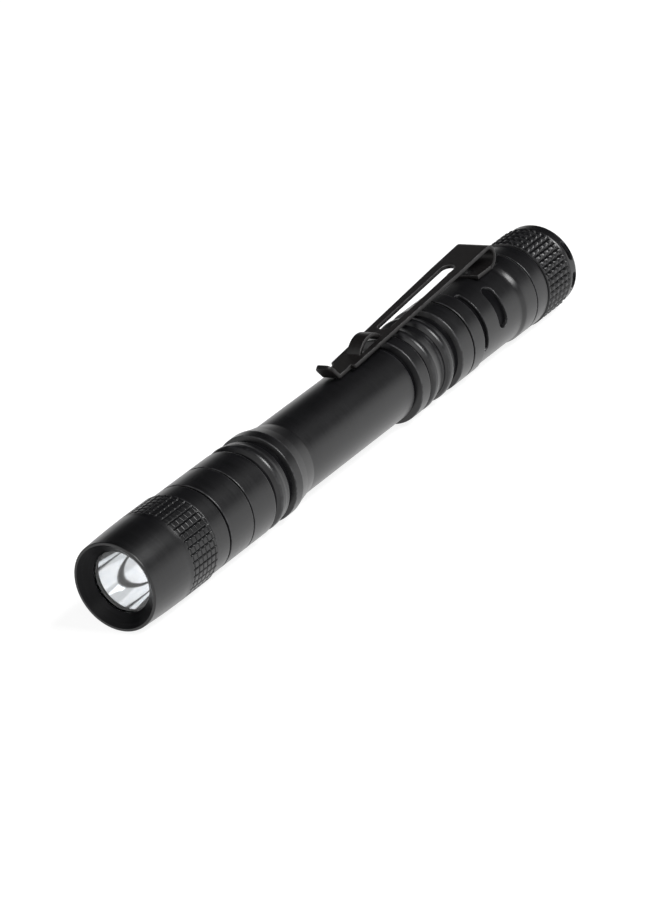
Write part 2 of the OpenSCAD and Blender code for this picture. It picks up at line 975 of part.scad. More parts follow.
module switch_plunger() {
    stem_front = collar_front - 0.9;
    stem_r = 1.1;
    color("#d9d9d2")
        turned([
            [0, stem_front], [stem_r, stem_front], [stem_r, collar_front], [collar_r, collar_front],
            [collar_r, collar_rear], [plunger_r, collar_rear], [plunger_r, flange_rear],
            [0, flange_rear]
        ]);
}

module switch_spring() {
    centre_r = 1.75;
    wire_r = 0.15;
    turns = 3.5;
    color("#b9bcc0")
        coil(centre_r, centre_r, housing_floor, collar_front, turns, wire_r);
}

module tail_button() {
    dome = 0.5;
    flange_radius = button_radius + 0.9;
    color("#26272b")
        turned([
            [plunger_r, flange_front], [flange_radius, flange_front], [flange_radius, flange_rear],
            [button_radius, flange_rear], [button_radius, button_end - dome],
            [button_radius * 0.93, button_end - dome * 0.5],
            [button_radius * 0.72, button_end - dome * 0.15],
            [button_radius * 0.4, button_end], [0, button_end], [0, flange_rear], [plunger_r, flange_rear]
        ]);
}

head_shell();
front_lens();
lens_o_ring();
reflector();
led_gasket();
uv_led();
led_board();
led_pill();
led_leads();
driver_board();
driver_parts();
front_contact_spring();
barrel();
head_o_ring();
cell_front();
cell_front_wrap();
cell_rear();
cell_rear_wrap();
tail_o_ring();
clip_foot();
clip_rivet();
pocket_clip();
tail_cap();
retaining_ring();
tail_spring();
switch_board();
switch_terminals();
switch_housing();
switch_plunger();
switch_spring();
tail_button();
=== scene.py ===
"""Looks of the ultraviolet pen torch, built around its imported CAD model.

Lengths in this script are millimetres until a mesh is made. A station is the distance along the pen
from the rim of the head, a radius is measured from the pen's axis, and an angle runs around the pen
from the clip, which points straight up, towards the side that faces the camera.
"""
import json
import math

import bpy
import numpy as np
from mathutils import Matrix, Vector


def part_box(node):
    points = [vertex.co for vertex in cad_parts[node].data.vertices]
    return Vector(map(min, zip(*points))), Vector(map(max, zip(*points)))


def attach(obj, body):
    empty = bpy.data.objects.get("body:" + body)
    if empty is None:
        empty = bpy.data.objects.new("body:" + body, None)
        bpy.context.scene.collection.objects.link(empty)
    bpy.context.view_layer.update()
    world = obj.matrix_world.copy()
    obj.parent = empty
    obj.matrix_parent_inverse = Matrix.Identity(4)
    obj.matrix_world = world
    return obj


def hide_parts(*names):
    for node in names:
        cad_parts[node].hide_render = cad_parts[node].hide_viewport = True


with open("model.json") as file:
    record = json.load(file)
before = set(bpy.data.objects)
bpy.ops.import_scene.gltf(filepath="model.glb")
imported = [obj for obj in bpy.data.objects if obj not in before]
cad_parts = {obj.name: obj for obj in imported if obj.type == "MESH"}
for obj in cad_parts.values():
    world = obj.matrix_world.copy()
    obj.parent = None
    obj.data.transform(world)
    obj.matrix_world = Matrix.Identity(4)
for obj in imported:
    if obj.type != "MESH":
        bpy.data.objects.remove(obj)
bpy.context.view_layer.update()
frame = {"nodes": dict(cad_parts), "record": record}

MM = 0.001

# ---- places taken from the frame ----

RIM_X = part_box("head_shell")[0].x / MM
AXIS_Z = (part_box("head_shell")[0].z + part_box("head_shell")[1].z) / 2 / MM


def first(node):
    """Station where a CAD node starts."""
    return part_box(node)[0].x / MM - RIM_X


def last(node):
    """Station where a CAD node ends."""
    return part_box(node)[1].x / MM - RIM_X


def half_height(node):
    """Radius of a round CAD node."""
    return (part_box(node)[1].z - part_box(node)[0].z) / 2 / MM


KNURL_R = half_height("head_shell")
RIB_R = KNURL_R - 0.25
FLANGE_R = RIB_R + 0.05
RIM_R = RIB_R - 0.07
WAIST_R = RIB_R - 0.27
VALLEY_R = RIB_R - 0.7
CAN_R = half_height("cell_front")
BORE_R = CAN_R + 0.3
SLIM_R = BORE_R + 0.9
NECK_MINOR_R = BORE_R + 0.45
NECK_MAJOR_R = BORE_R + 0.75
SOCKET_R = NECK_MAJOR_R + 0.1
OPTIC_R = BORE_R + 0.4
WINDOW_R = 4.9
PITCH = 1.0

HEAD_END = last("head_shell")
NECK_START = first("barrel")
BARREL_START = HEAD_END + 0.3
BARREL_END = last("barrel")
SKIRT_START = first("tail_cap")
CAP_START = BARREL_END + 0.3
CAP_END = last("tail_cap")
LENS_START = first("front_lens")
LENS_END = last("front_lens")
SEAT_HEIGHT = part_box("clip_foot")[0].z / MM - AXIS_Z

# ---- meshes ----


# an inside corner with a smaller fillet than this is marked for painted shade
PAINTED_SHADE_FILLET = 0.13
# a relief cut this deep below the plain surface gets the full painted shade
PAINTED_SHADE_DEPTH = 0.3


def beside(*parts):
    """Puts values or arrays side by side along a new last axis."""
    return np.stack(np.broadcast_arrays(*parts), axis=-1)


class Shell:
    """Points and faces of one closed surface, gathered grid by grid."""

    def __init__(self):
        self.points = []
        self.wear_and_painted_light = []
        self.faces = []
        self.count = 0

    def add(self, points, wear_and_painted_light=0.0):
        """Adds an array of points, any shape ending in 3, and gives their numbers in the same shape."""
        points = np.asarray(points, float)
        shape = points.shape[:-1]
        number = np.arange(int(np.prod(shape))).reshape(shape) + self.count
        self.points.append(points.reshape(-1, 3))
        self.wear_and_painted_light.append(np.broadcast_to(wear_and_painted_light, shape).astype(float).reshape(-1))
        self.count += number.size
        return number

    def quads(self, number, keep=None):
        """Faces of a grid whose columns run around the pen and close on themselves, or those to keep."""
        right = np.roll(number, -1, axis=1)
        face = beside(number[:-1], right[:-1], right[1:], number[1:])
        self.faces.append((face if keep is None else face[keep]).reshape(-1, 4))

    def join_rings(self, ring, angles, other, other_angles):
        """Triangles between two rings with different numbers of points.

        Walking once around, each step moves along whichever ring has the nearer next point, and makes
        a triangle of that step and the point that the other ring has reached.
        """
        count, other_count = len(ring), len(other)
        upcoming = np.append(angles[1:], angles[0] + 360)
        other_upcoming = np.append(other_angles[1:], other_angles[0] + 360)
        order = np.argsort(np.concatenate([upcoming, other_upcoming]), kind="stable")
        mine = order < count
        here = np.cumsum(mine) - mine
        there = np.cumsum(~mine) - ~mine
        a, a_next = ring[here % count], ring[(here + 1) % count]
        b, b_next = other[there % other_count], other[(there + 1) % other_count]
        steps = beside(a[mine], a_next[mine], b[mine])
        other_steps = beside(a[~mine], b_next[~mine], b[~mine])
        if other_count == 1:
            other_steps = other_steps[:0]
        if count == 1:
            steps = steps[:0]
        self.faces.append(np.concatenate([steps, other_steps]))

    def build(self, name, sharp=None):
        """Makes the Blender object, in metres, smooth shaded, with the mark of rubbing and painted light
        on its points: above nought an edge is painted lighter, partly as rubbed metal and partly as a
        painted highlight, below nought a place is painted with shade.
        """
        points = np.concatenate(self.points) * MM
        wear_and_painted_light = np.concatenate(self.wear_and_painted_light)
        sizes = np.concatenate([np.full(len(f), f.shape[1]) for f in self.faces])
        loops = np.concatenate([f.reshape(-1) for f in self.faces])
        used, loops = np.unique(loops, return_inverse=True)
        points, wear_and_painted_light = points[used], wear_and_painted_light[used]
        mesh = bpy.data.meshes.new(name)
        mesh.vertices.add(len(points))
        mesh.vertices.foreach_set("co", points.astype(np.float32).ravel())
        mesh.loops.add(len(loops))
        mesh.loops.foreach_set("vertex_index", loops.astype(np.int32).ravel())
        mesh.polygons.add(len(sizes))
        starts = np.concatenate([[0], np.cumsum(sizes)[:-1]])
        mesh.polygons.foreach_set("loop_start", starts.astype(np.int32))
        mesh.update(calc_edges=True)
        mesh.validate()
        mesh.shade_smooth()
        if sharp:
            mesh.set_sharp_from_angle(angle=math.radians(sharp))
        # this point attribute carries rubbing and painted light: lighter edges that stand partly for a
        # highlight, and painted shade below nought
        attribute = mesh.attributes.new("wear_and_painted_light", "FLOAT", "POINT")
        attribute.data.foreach_set("value", wear_and_painted_light.astype(np.float32))
        piece = bpy.data.objects.new(name, mesh)
        bpy.context.scene.collection.objects.link(piece)
        return piece


def around_pen(station, angle, radius):
    """Points from stations, angles in degrees and radii: the angle turns the radius about the axis."""
    station, angle, radius = np.broadcast_arrays(station, np.radians(angle), radius)
    return beside(RIM_X + station, -radius * np.sin(angle), AXIS_Z + radius * np.cos(angle))


def profile(corners, arc_steps=3, support=0.07):
    """Rows of station, radius and mark of rubbing and painted light from a list of (station, radius,
    fillet) corners.

    Each corner with a fillet becomes an arc that touches both of its sides: its middle lies on the
    corner's bisector, at the fillet over the sine of half the angle. One more row close to each end of
    the arc keeps the long sides evenly shaded. A corner whose fillet is None is kept as one row. Outside
    corners are marked with 1, painted lighter partly as rubbed metal and partly as a painted highlight;
    tight inside corners are marked with -1 for painted shade, and so is a floor between two of them.
    """
    rows = []
    marks = corner_marks(corners)
    for i, (station, radius, fillet) in enumerate(corner[:3] for corner in corners):
        here = np.array([station, radius], float)
        if fillet is None or i == 0 or i == len(corners) - 1:
            rows.append([[station, radius, 0.0]])
            continue
        before = np.array(corners[i - 1][:2], float) - here
        after = np.array(corners[i + 1][:2], float) - here
        long_before, long_after = np.linalg.norm(before), np.linalg.norm(after)
        u, v = before / long_before, after / long_after
        half = np.arccos(np.clip(u @ v, -0.9999, 0.9999)) / 2
        tangent = min(fillet / math.tan(half), 0.42 * long_before, 0.42 * long_after)
        fillet = tangent * math.tan(half)
        turn = math.pi - 2 * half
        middle = here + (u + v) / np.linalg.norm(u + v) * fillet / math.sin(half)
        start, end = here + u * tangent - middle, here + v * tangent - middle
        share = np.linspace(0, 1, arc_steps + 1)[:, None]
        arc = middle + (start * np.sin((1 - share) * turn) + end * np.sin(share * turn)) / math.sin(turn)
        lead = min(support, 0.3 * (long_before - tangent))
        trail = min(support, 0.3 * (long_after - tangent))
        line = np.vstack([here + u * (tangent + lead), arc, here + v * (tangent + trail)])
        ends = [min(marks[i], 0.0) if marks[i] == marks[k] else 0.0 for k in (i - 1, i + 1)]
        mark = np.array([ends[0]] + [marks[i]] * len(arc) + [ends[1]])[:, None]
        rows.append(np.hstack([line, mark]).tolist())
    return np.array([row for part in rows for row in part])


def corner_marks(corners):
    """The mark of each corner: 1 if it points outwards, painted lighter partly as rubbed metal and
    partly as a painted highlight, -1 if it is a tight inside one, for painted shade, 0 otherwise.

    A corner's fourth value, if it has one, is its mark instead.
    """
    place = np.array([c[:2] for c in corners], float)
    fillet = np.array([9.0 if c[2] is None else c[2] for c in corners])
    mark = np.zeros(len(corners))
    before, after = place[:-2] - place[1:-1], place[2:] - place[1:-1]
    cross = before[:, 0] * after[:, 1] - before[:, 1] * after[:, 0]
    mark[1:-1] = np.where(cross > 0, 1.0, np.where(fillet[1:-1] < PAINTED_SHADE_FILLET, -1.0, 0.0))
    mark[fillet > 8] = 0
    own = [i for i, c in enumerate(corners) if len(c) == 4]
    mark[own] = [corners[i][3] for i in own]
    return mark


def even(count, offset=0.0):
    """Evenly spaced angles."""
    return np.arange(count) * 360.0 / count + offset


def knurl_angles(cuts, edge):
    """Angles of a knurl's columns: in each pitch the cut's bottom, its sides and the pad's middle."""
    side = np.array([0.55, 1, 1.25]) * edge
    share = np.concatenate([[0], side, [0.5], 1 - side[::-1]])
    return ((np.arange(cuts)[:, None] + share) * 360.0 / cuts).ravel()


def knurl_rows(start, length, rows, edge):
    """Stations of a knurl's rows, spread as its columns are but with the cut at each pitch's middle."""
    side = np.array([0.55, 1, 1.25]) * edge
    share = np.concatenate([[0, 0.25], 0.5 - side[::-1], [0.5], 0.5 + side, [0.75]])
    return (start + (np.arange(rows)[:, None] + share) * length / rows).ravel()


def cut_depth(phase, edge):
    """Depth of a V cut as a share: one at a whole phase, falling to nothing an edge away from it."""
    away = np.abs(phase - np.round(phase))
    share = np.clip(1 - away / edge, 0, 1)
    return share * share * (3 - 2 * share) * 0.35 + share * 0.65


class Pen(Shell):
    """A shell turned about the pen's axis, laid down ring after ring."""

    def __init__(self):
        super().__init__()
        self.rings = []

    def lay(self, station, radius, wear_and_painted_light, angles, shape=None):
        """Lays a grid of rings. shape, if given, turns (station, angle, radius) grids into new ones."""
        station, radius, wear_and_painted_light = (np.asarray(x, float)[:, None] for x in (station, radius, wear_and_painted_light))
        grid_station, grid_angle, grid_radius = (
            np.array(x) for x in np.broadcast_arrays(station, angles[None, :], radius)
        )
        if shape:
            plain = grid_radius
            grid_station, grid_angle, grid_radius = shape(grid_station, grid_angle, grid_radius)
            # points that the shape cuts below the plain surface are marked for painted shade, in full at
            # the depth set near the top
            wear_and_painted_light = wear_and_painted_light - np.clip((plain - grid_radius) / PAINTED_SHADE_DEPTH, 0, 1)
        number = self.add(around_pen(grid_station, grid_angle, grid_radius), wear_and_painted_light)
        self.quads(number)
        self.follow(number, angles)
        return number

    def follow(self, number, angles):
        """Joins a grid's first ring to the last ring so far."""
        if self.rings:
            ring, ring_angles = self.rings[-1][1], self.rings[-1][2]
            self.join_rings(ring, ring_angles, number[0], angles)
        self.rings.append((number[0], number[-1], angles))

    def turned(self, corners, angles, **options):
        """Lays a plain turned stretch from its corners."""
        rows = profile(corners, **options)
        return self.lay(rows[:, 0], rows[:, 1], rows[:, 2], angles)

    def pole(self, station):
        """Closes the end with a single point on the axis."""
        number = self.add(around_pen(np.array([[station]]), 0.0, 0.0))
        self.follow(number, np.zeros(1))

    def close(self):
        """Joins the last ring to the first."""
        first_ring, last_ring = self.rings[0], self.rings[-1]
        self.join_rings(last_ring[1], last_ring[2], first_ring[0], first_ring[2])


# ---- slots milled around the pen ----


def outline(station, angle, slot):
    """Distance in millimetres outside a slot's round-ended outline, and the direction away from it.

    The distance to the slot's middle line, which runs around the pen, less half the slot's width.
    """
    along = station - slot["station"]
    arc = np.radians(angle - slot["middle"]) * slot["radius"]
    past = arc - np.clip(arc, -slot["reach"], slot["reach"])
    away = np.maximum(np.hypot(along, past), 1e-9)
    return away - slot["half"], along / away, past / away


def nearest(station, angle, slots):
    """The nearest slot's distance and direction at each point."""
    found = [outline(station, angle, slot) for slot in slots]
    distance = np.stack([f[0] for f in found])
    pick = np.argmin(distance, axis=0)[None]
    return [np.take_along_axis(np.stack([f[k] for f in found]), pick, axis=0)[0] for k in range(3)]


def slot(station, half, start, end, radius):
    """A slot between two angles, one on each side of the pen."""
    reach = np.radians(end - start) / 2 * radius - half
    middle = (start + end) / 2
    return [
        {"station": station, "half": half, "middle": m, "reach": reach, "radius": radius}
        for m in (middle, 360 - middle)
    ]


def rounded_rim(bevel):
    """Rows for a slot's walls that round its edge by a bevel, marked 1 so that the edge is painted
    lighter, partly as rubbed metal and partly as a painted highlight.
    """
    return [(bevel * 0.5, None, bevel * 0.13, 1.0), (bevel * 0.13, None, bevel * 0.5, 1.0),
            (0.0, None, bevel, 1.0)]


class Slotted:
    """A fine grid of the pen's surface with slots taken out of it."""

    def __init__(self, pen, station, radius, wear_and_painted_light, angles, slots, bevel):
        self.pen = pen
        self.slots = slots
        grid = np.broadcast_arrays(station[:, None], angles[None, :], radius[:, None])
        self.station, self.angle, self.radius = (np.array(x) for x in grid)
        centre_station = (self.station[1:] + self.station[:-1]) / 2
        step = np.diff(np.append(angles, angles[0] + 360))
        centre_angle = self.angle[1:] + step / 2
        self.inside = nearest(centre_station, centre_angle, slots)[0] < bevel
        corner = np.zeros((2,) + self.station.shape, bool)
        for shift in (0, 1):
            cells = np.roll(self.inside, shift, axis=1)
            corner[0, :-1] |= cells
            corner[0, 1:] |= cells
            corner[1, :-1] |= ~cells
            corner[1, 1:] |= ~cells
        self.rim = corner[0] & corner[1]
        self.within = corner[0] & ~corner[1]
        self.move_rim(bevel)
        self.number = pen.add(around_pen(self.station, self.angle, self.radius), wear_and_painted_light)
        pen.quads(self.number, keep=~self.inside)
        pen.follow(self.number, angles)

    def move_rim(self, level):
        """Moves the rim's points onto the outline's level line."""
        distance, along, past = nearest(self.station, self.angle, self.slots)
        shift = np.where(self.rim, level - distance, 0)
        base = self.radius[:, 0]
        self.station = self.station + shift * along
        self.angle = self.angle + np.degrees(shift * past / self.slots[0]["radius"])
        order = np.argsort(self.station.mean(axis=1))
        grid = self.station.mean(axis=1)[order]
        self.radius = np.interp(self.station, grid, base[order])

    def walls(self, rings):
        """Faces down from the rim through rings of new points, and the numbers of the last ring.

        rings is a list of (distance from the outline, radius or drop below the surface, mark of rubbing
        and painted light) rows.
        """
        number = self.number
        distance, along, past = nearest(self.station, self.angle, self.slots)
        rim = np.argwhere(self.rim)
        place = np.full(number.shape, -1)
        place[tuple(rim.T)] = np.arange(len(rim))
        station, angle = self.station[self.rim], self.angle[self.rim]
        n_along, n_past = along[self.rim], past[self.rim]
        level = distance[self.rim]
        surface = self.radius[self.rim]
        layers = [number[self.rim]]
        for goal, radius, drop, wear_and_painted_light in rings:
            move = goal - level
            new_angle = angle + np.degrees(move * n_past / self.slots[0]["radius"])
            new_radius = surface - drop if radius is None else np.full(len(rim), radius)
            points = around_pen(station + move * n_along, new_angle, new_radius)
            layers.append(self.pen.add(points, wear_and_painted_light))
        edges = self.rim_edges(place)
        for upper, lower in zip(layers[:-1], layers[1:]):
            a, b = edges[:, 0], edges[:, 1]
            self.pen.faces.append(beside(upper[a], upper[b], lower[b], lower[a]))
        return place, layers[-1]

    def rim_edges(self, place):
        """Pairs of rim points, in the order that the kept faces outside the slot need."""
        inside = self.inside
        right = np.roll(place, -1, axis=1)
        above = np.zeros_like(inside)
        above[1:] = inside[:-1]
        below = np.zeros_like(inside)
        below[:-1] = inside[1:]
        left_cell = np.roll(inside, 1, axis=1)
        right_cell = np.roll(inside, -1, axis=1)
        front = inside & ~above
        back = inside & ~below
        left = inside & ~left_cell
        far = inside & ~right_cell
        return np.concatenate([
            beside(place[:-1][front], right[:-1][front]),
            beside(right[1:][back], place[1:][back]),
            beside(place[1:][left], place[:-1][left]),
            beside(right[:-1][far], right[1:][far]),
        ])

    def floor(self, radius, place, rim_number):
        """Lays the slot's floor at a radius, marked -1 for painted shade, and joins it to the last ring
        of the walls.
        """
        number = self.pen.add(around_pen(self.station, self.angle, radius), -1.0)
        joined = np.where(place >= 0, rim_number[np.maximum(place, 0)], number)
        self.pen.quads(joined, keep=self.inside)

    def slot_order(self):
        """For each slot, its rim's points in order around its middle, with their bearings in degrees."""
        rings = []
        rim = self.rim
        station, angle = self.station[rim], self.angle[rim]
        distance = np.stack([outline(station, angle, s)[0] for s in self.slots])
        owner = np.argmin(distance, axis=0)
        for k, s in enumerate(self.slots):
            pick = np.flatnonzero(owner == k)
            behind = station[pick] > s["station"]
            arc = np.radians(angle[pick] - s["middle"]) * s["radius"]
            spine = np.clip(arc, -s["reach"], s["reach"])
            bearing = np.degrees(np.arctan2(station[pick] - s["station"], arc - spine)) % 360
            sweep = np.where(np.abs(arc) <= s["reach"], np.where(behind, 90, 270), bearing)
            # the bearing sorts first, and the place along a straight side sorts its ties
            track = sweep / 360 * 10 + np.where(behind, -spine, spine) * 1e-3
            order = np.argsort(track)
            share = np.linspace(0, 360, len(pick), endpoint=False)
            rings.append((pick[order], share))
        return rings


# ---- the sheet clip ----


def path(start, heading, stretches):
    """Distances, points and headings along a line made of straight and round stretches.

    The heading at each point is the running sum of turn over length, and the point is the running sum
    of the heading's direction. stretches is a list of (length, turn in degrees, number of steps).
    """
    lengths = np.concatenate([np.full(n, length / n) for length, turn, n in stretches])
    turns = np.concatenate([np.full(n, math.radians(turn) / n) for length, turn, n in stretches])
    after = math.radians(heading) + np.cumsum(turns)
    middle = after - turns / 2
    steps = beside(lengths * np.cos(middle), lengths * np.sin(middle))
    line = np.vstack([[0, 0], np.cumsum(steps, axis=0)]) + np.array(start)
    headings = np.concatenate([[math.radians(heading)], after])
    return np.concatenate([[0], np.cumsum(lengths)]), line, headings


# painted shade on a sheet's cut side, below its top edge, which is painted lighter partly as rubbed
# metal and partly as a painted highlight
SIDE_PAINTED_SHADE = -0.8


def bend_sheet(shell, flat, faces, line, thickness, bevel):
    """Makes a bent sheet from its flat pattern.

    flat holds (distance along the path, distance across) points of the pattern, smaller all round than
    the real one by the bevel, and faces its quads. Both skins are the pattern lifted by half the
    thickness along the path's normal. Each open edge of the pattern gets rings of points that round it
    from one skin to the other.
    """
    half = thickness / 2
    distance, centre, heading = line

    def lift(along, across, height):
        x = np.interp(along, distance, centre[:, 0])
        z = np.interp(along, distance, centre[:, 1])
        turn = np.interp(along, distance, heading)
        return beside(RIM_X + x - height * np.sin(turn), across, AXIS_Z + z + height * np.cos(turn))

    top = shell.add(lift(flat[:, 0], flat[:, 1], half))
    bottom = shell.add(lift(flat[:, 0], flat[:, 1], -half))
    shell.faces.append(top[faces])
    shell.faces.append(bottom[faces[:, ::-1]])
    rim, outward, a, b = sheet_rim(flat, faces)
    turns = np.radians(np.array([30, 60, 90]))
    reaches = np.concatenate([bevel * np.sin(turns), bevel * np.sin(turns[::-1])])
    heights = half - bevel + bevel * np.cos(turns)
    heights = np.concatenate([heights, -heights[::-1]])
    # the top bevel is painted lighter, partly as rubbed metal and partly as a painted highlight, and the
    # cut side below it is marked for painted shade
    marks = [1.0, 1.0, 0.0, SIDE_PAINTED_SHADE, SIDE_PAINTED_SHADE, 0.0]
    layers = [top[rim]]
    for reach, height, mark in zip(reaches, heights, marks):
        spot = flat[rim] + outward * reach
        layers.append(shell.add(lift(spot[:, 0], spot[:, 1], height), mark))
    layers.append(bottom[rim])
    for upper, lower in zip(layers[:-1], layers[1:]):
        shell.faces.append(beside(upper[a], lower[a], lower[b], upper[b]))


def sheet_rim(flat, faces):
    """A flat pattern's rim: its points, the direction away from each, and the open edges' two ends.

    An edge is open if only one quad has it. A point's direction is the sum of its two edges' outward
    directions, brought to a length of one. The ends are numbered along the rim's points.
    """
    pairs = beside(faces, np.roll(faces, -1, axis=1)).reshape(-1, 2)
    pairs = pairs[pairs[:, 0] != pairs[:, 1]]
    key = np.sort(pairs, axis=1) @ np.array([len(flat), 1])
    unique, counts = np.unique(key, return_counts=True)
    edges = pairs[np.isin(key, unique[counts == 1])]
    step = flat[edges[:, 1]] - flat[edges[:, 0]]
    step /= np.maximum(np.linalg.norm(step, axis=1), 1e-9)[:, None]
    out = beside(step[:, 1], -step[:, 0])
    normal = np.zeros_like(flat)
    np.add.at(normal, edges[:, 0], out)
    np.add.at(normal, edges[:, 1], out)
    rim = np.unique(edges)
    unit = normal[rim] / np.maximum(np.linalg.norm(normal[rim], axis=1), 1e-9)[:, None]
    place = np.full(len(flat), -1)
    place[rim] = np.arange(len(rim))
    return rim, unit, place[edges[:, 0]], place[edges[:, 1]]


def mirrored_pattern(inner, outer, columns):
    """A flat pattern from its right half's inner and outer lines, as points and quads.

    Row i runs straight from inner[i] to outer[i]. The left half is the same mirrored. Points that lie
    on the middle line are shared, so the halves part only where the inner line leaves it.
    """
    share = np.linspace(0, 1, columns)[None, :, None]
    half = inner[:, None, :] * (1 - share) + outer[:, None, :] * share
    rows = len(inner)
    number = np.arange(rows * columns).reshape(rows, columns)
    right = beside(number[:-1, :-1], number[1:, :-1], number[1:, 1:], number[:-1, 1:])
    left = right[..., ::-1] + rows * columns
    points = np.concatenate([half.reshape(-1, 2), half.reshape(-1, 2) * [1, -1]])
    faces = np.concatenate([right.reshape(-1, 4), left.reshape(-1, 4)])
    keys = np.round(points * 1e5).astype(np.int64)
    index, inverse = np.unique(keys, axis=0, return_index=True, return_inverse=True)[1:]
    return points[index], inverse.reshape(-1)[faces]


# ---- pieces ----

KNURL_CUTS = 40
HEAD_ROWS, CAP_ROWS = 6, 5
HEAD_EDGE = 0.17
HEAD_ROW_EDGE = 0.16
CAP_EDGE = 0.33
CAP_ROW_EDGE = 0.3
# mark that paints the knurl's pad tops lighter, partly as rubbed metal and partly as a painted highlight
PAD_RUBBED_AND_HIGHLIGHT = 0.5
THREAD_TURNED = 144
SMOOTH = 192


def knurl_shape(cuts, rows, start, length, axial, ring, edge, row_edge):
    """Returns the relief of a knurl: at each point the deeper of the axial cut and the ring cut."""

    def shape(station, angle, radius):
        column = cut_depth(angle / 360 * cuts, edge)
        row = cut_depth((station - start) / length * rows - 0.5, row_edge)
        fade = np.clip((station - start) / 0.25, 0, 1)
        fade = fade * np.clip((start + length - station) / 0.12, 0, 1)
        return station, angle, radius - np.maximum(column * axial * fade, row * ring)

    return shape


# mark for the painted shade in the head's front recess
RECESS_PAINTED_SHADE = -0.85


def line_groove(station, width=0.42):
    """Corners of a narrow groove turned around the outside, with a rear edge painted lighter, partly as
    rubbed metal and partly as a painted highlight, and painted shade in its bottom.
    """
    return [
        (station - 0.12, RIB_R, 0.07, 0), (station - 0.06, RIB_R - 0.34, 0.04),
        (station - 0.12 + width, RIB_R - 0.34, 0.04), (station - 0.06 + width, RIB_R, 0.1),
    ]


def make_head():
    """The head: a turned shell whose outside swells gently to a knurled band and two plain bands."""
    pen = Pen()
    angles = knurl_angles(KNURL_CUTS, HEAD_EDGE)
    knurl_start, knurl_length = 9.4, 6.5
    knurl_end = knurl_start + knurl_length
    groove = knurl_end + 3.8
    swell = np.linspace(0.6, knurl_start - 0.1, 12)
    rise = np.sin(np.clip(swell / knurl_start, 0, 1) * math.pi / 2)
    bulge = RIM_R + (KNURL_R - 0.02 - RIM_R) * rise
    front = profile(
        [
            (LENS_START, OPTIC_R - 0.2, None), (LENS_START, WINDOW_R, 0.06), (1.72, WINDOW_R, 0.06),
            (0, RIM_R - 0.42, 0.08, 0), (0, RIM_R, 0.16, 0),
        ] + [(s, r, None) for s, r in zip(swell, bulge)],
        arc_steps=4,
    )
    # the front recess is marked for painted shade, which takes the shine out of it
    recess = front[:, 1] < RIM_R - 0.44
    pen.lay(front[:, 0], front[:, 1], np.where(recess, RECESS_PAINTED_SHADE, front[:, 2]), angles)
    stations = knurl_rows(knurl_start, knurl_length, HEAD_ROWS, HEAD_ROW_EDGE)
    relief = knurl_shape(KNURL_CUTS, HEAD_ROWS, knurl_start, knurl_length, 0.2, 0.13,
                         HEAD_EDGE, HEAD_ROW_EDGE)
    pen.lay(stations, np.full(len(stations), KNURL_R), np.zeros(len(stations)), angles, relief)
    pen.turned(
        [
            (knurl_end, KNURL_R, None), (knurl_end + 0.04, RIB_R - 0.3, 0.04),
            (knurl_end + 0.32, RIB_R - 0.3, 0.04), (knurl_end + 0.38, RIB_R, 0.1),
            *line_groove(groove),
            (HEAD_END, RIB_R, 0.09), (HEAD_END, SOCKET_R, 0.1),
            (NECK_START - 0.4, SOCKET_R, 0.05), (NECK_START - 0.4, OPTIC_R, 0.05),
            (LENS_START, OPTIC_R, None),
        ],
        angles,
    )
    pen.close()
    return pen.build("head_skin", sharp=50)


def thread_shape(start, end, minor, major):
    """Returns the relief of a single thread, one ridge that winds up the stretch and fades at its ends.

    The ridge's phase is the distance along the pen over the pitch, less the share of a turn.
    """

    def shape(station, angle, radius):
        phase = (station / PITCH - angle / 360) % 1
        ridge = np.clip(np.minimum(phase, 0.75 - phase) / 0.3, 0, 1)
        fade = np.clip((station - start) / 0.5, 0, 1) * np.clip((end - station) / 0.5, 0, 1)
        return station, angle, minor + (major - minor) * ridge * fade

    return shape


def lay_neck(pen, start, shoulder):
    """Lays a threaded neck that begins a piece, and gives the corners from its thread to the shoulder.

    They are those of a land, the O-ring's groove and the land behind it.
    """
    thread_start, thread_end = start + 0.3, shoulder - 2.1
    floor = NECK_MINOR_R - 0.1
    around = even(THREAD_TURNED)
    pen.turned([(start + 1, BORE_R, None), (start, BORE_R, 0.05), (start, NECK_MINOR_R, 0.1),
                (thread_start - 0.05, NECK_MINOR_R, None)], around)
    stations = np.arange(thread_start, thread_end, PITCH / 12)
    flat = np.full(len(stations), NECK_MINOR_R)
    thread = thread_shape(thread_start, thread_end, NECK_MINOR_R, NECK_MAJOR_R)
    pen.lay(stations, flat, flat * 0, around, thread)
    return [
        (thread_end + 0.03, NECK_MINOR_R, None),
        (shoulder - 1.95, NECK_MINOR_R, 0.05), (shoulder - 1.8, NECK_MAJOR_R, 0.05),
        (shoulder - 1.4, NECK_MAJOR_R, 0.05), (shoulder - 1.35, floor, 0.04),
        (shoulder - 0.65, floor, 0.04), (shoulder - 0.6, NECK_MAJOR_R, 0.05),
        (shoulder, NECK_MAJOR_R, 0.05),
    ]


def stretch_rows(marks, steps):
    """Values from mark to mark, each stretch at about its own step, without the last mark."""
    return np.concatenate([
        np.linspace(a, b, max(2, int(round((b - a) / step))), endpoint=False)
        for a, b, step in zip(marks[:-1], marks[1:], steps)
    ])


def fine_angles(spans, fine, coarse):
    """Angles that are closely spaced inside the given spans on both sides and wider elsewhere."""
    both = sorted(spans + [(360 - b, 360 - a) for a, b in spans])
    marks = [0.0] + [edge for span in both for edge in span] + [360]
    return stretch_rows(marks, [coarse, fine] * len(both) + [coarse])


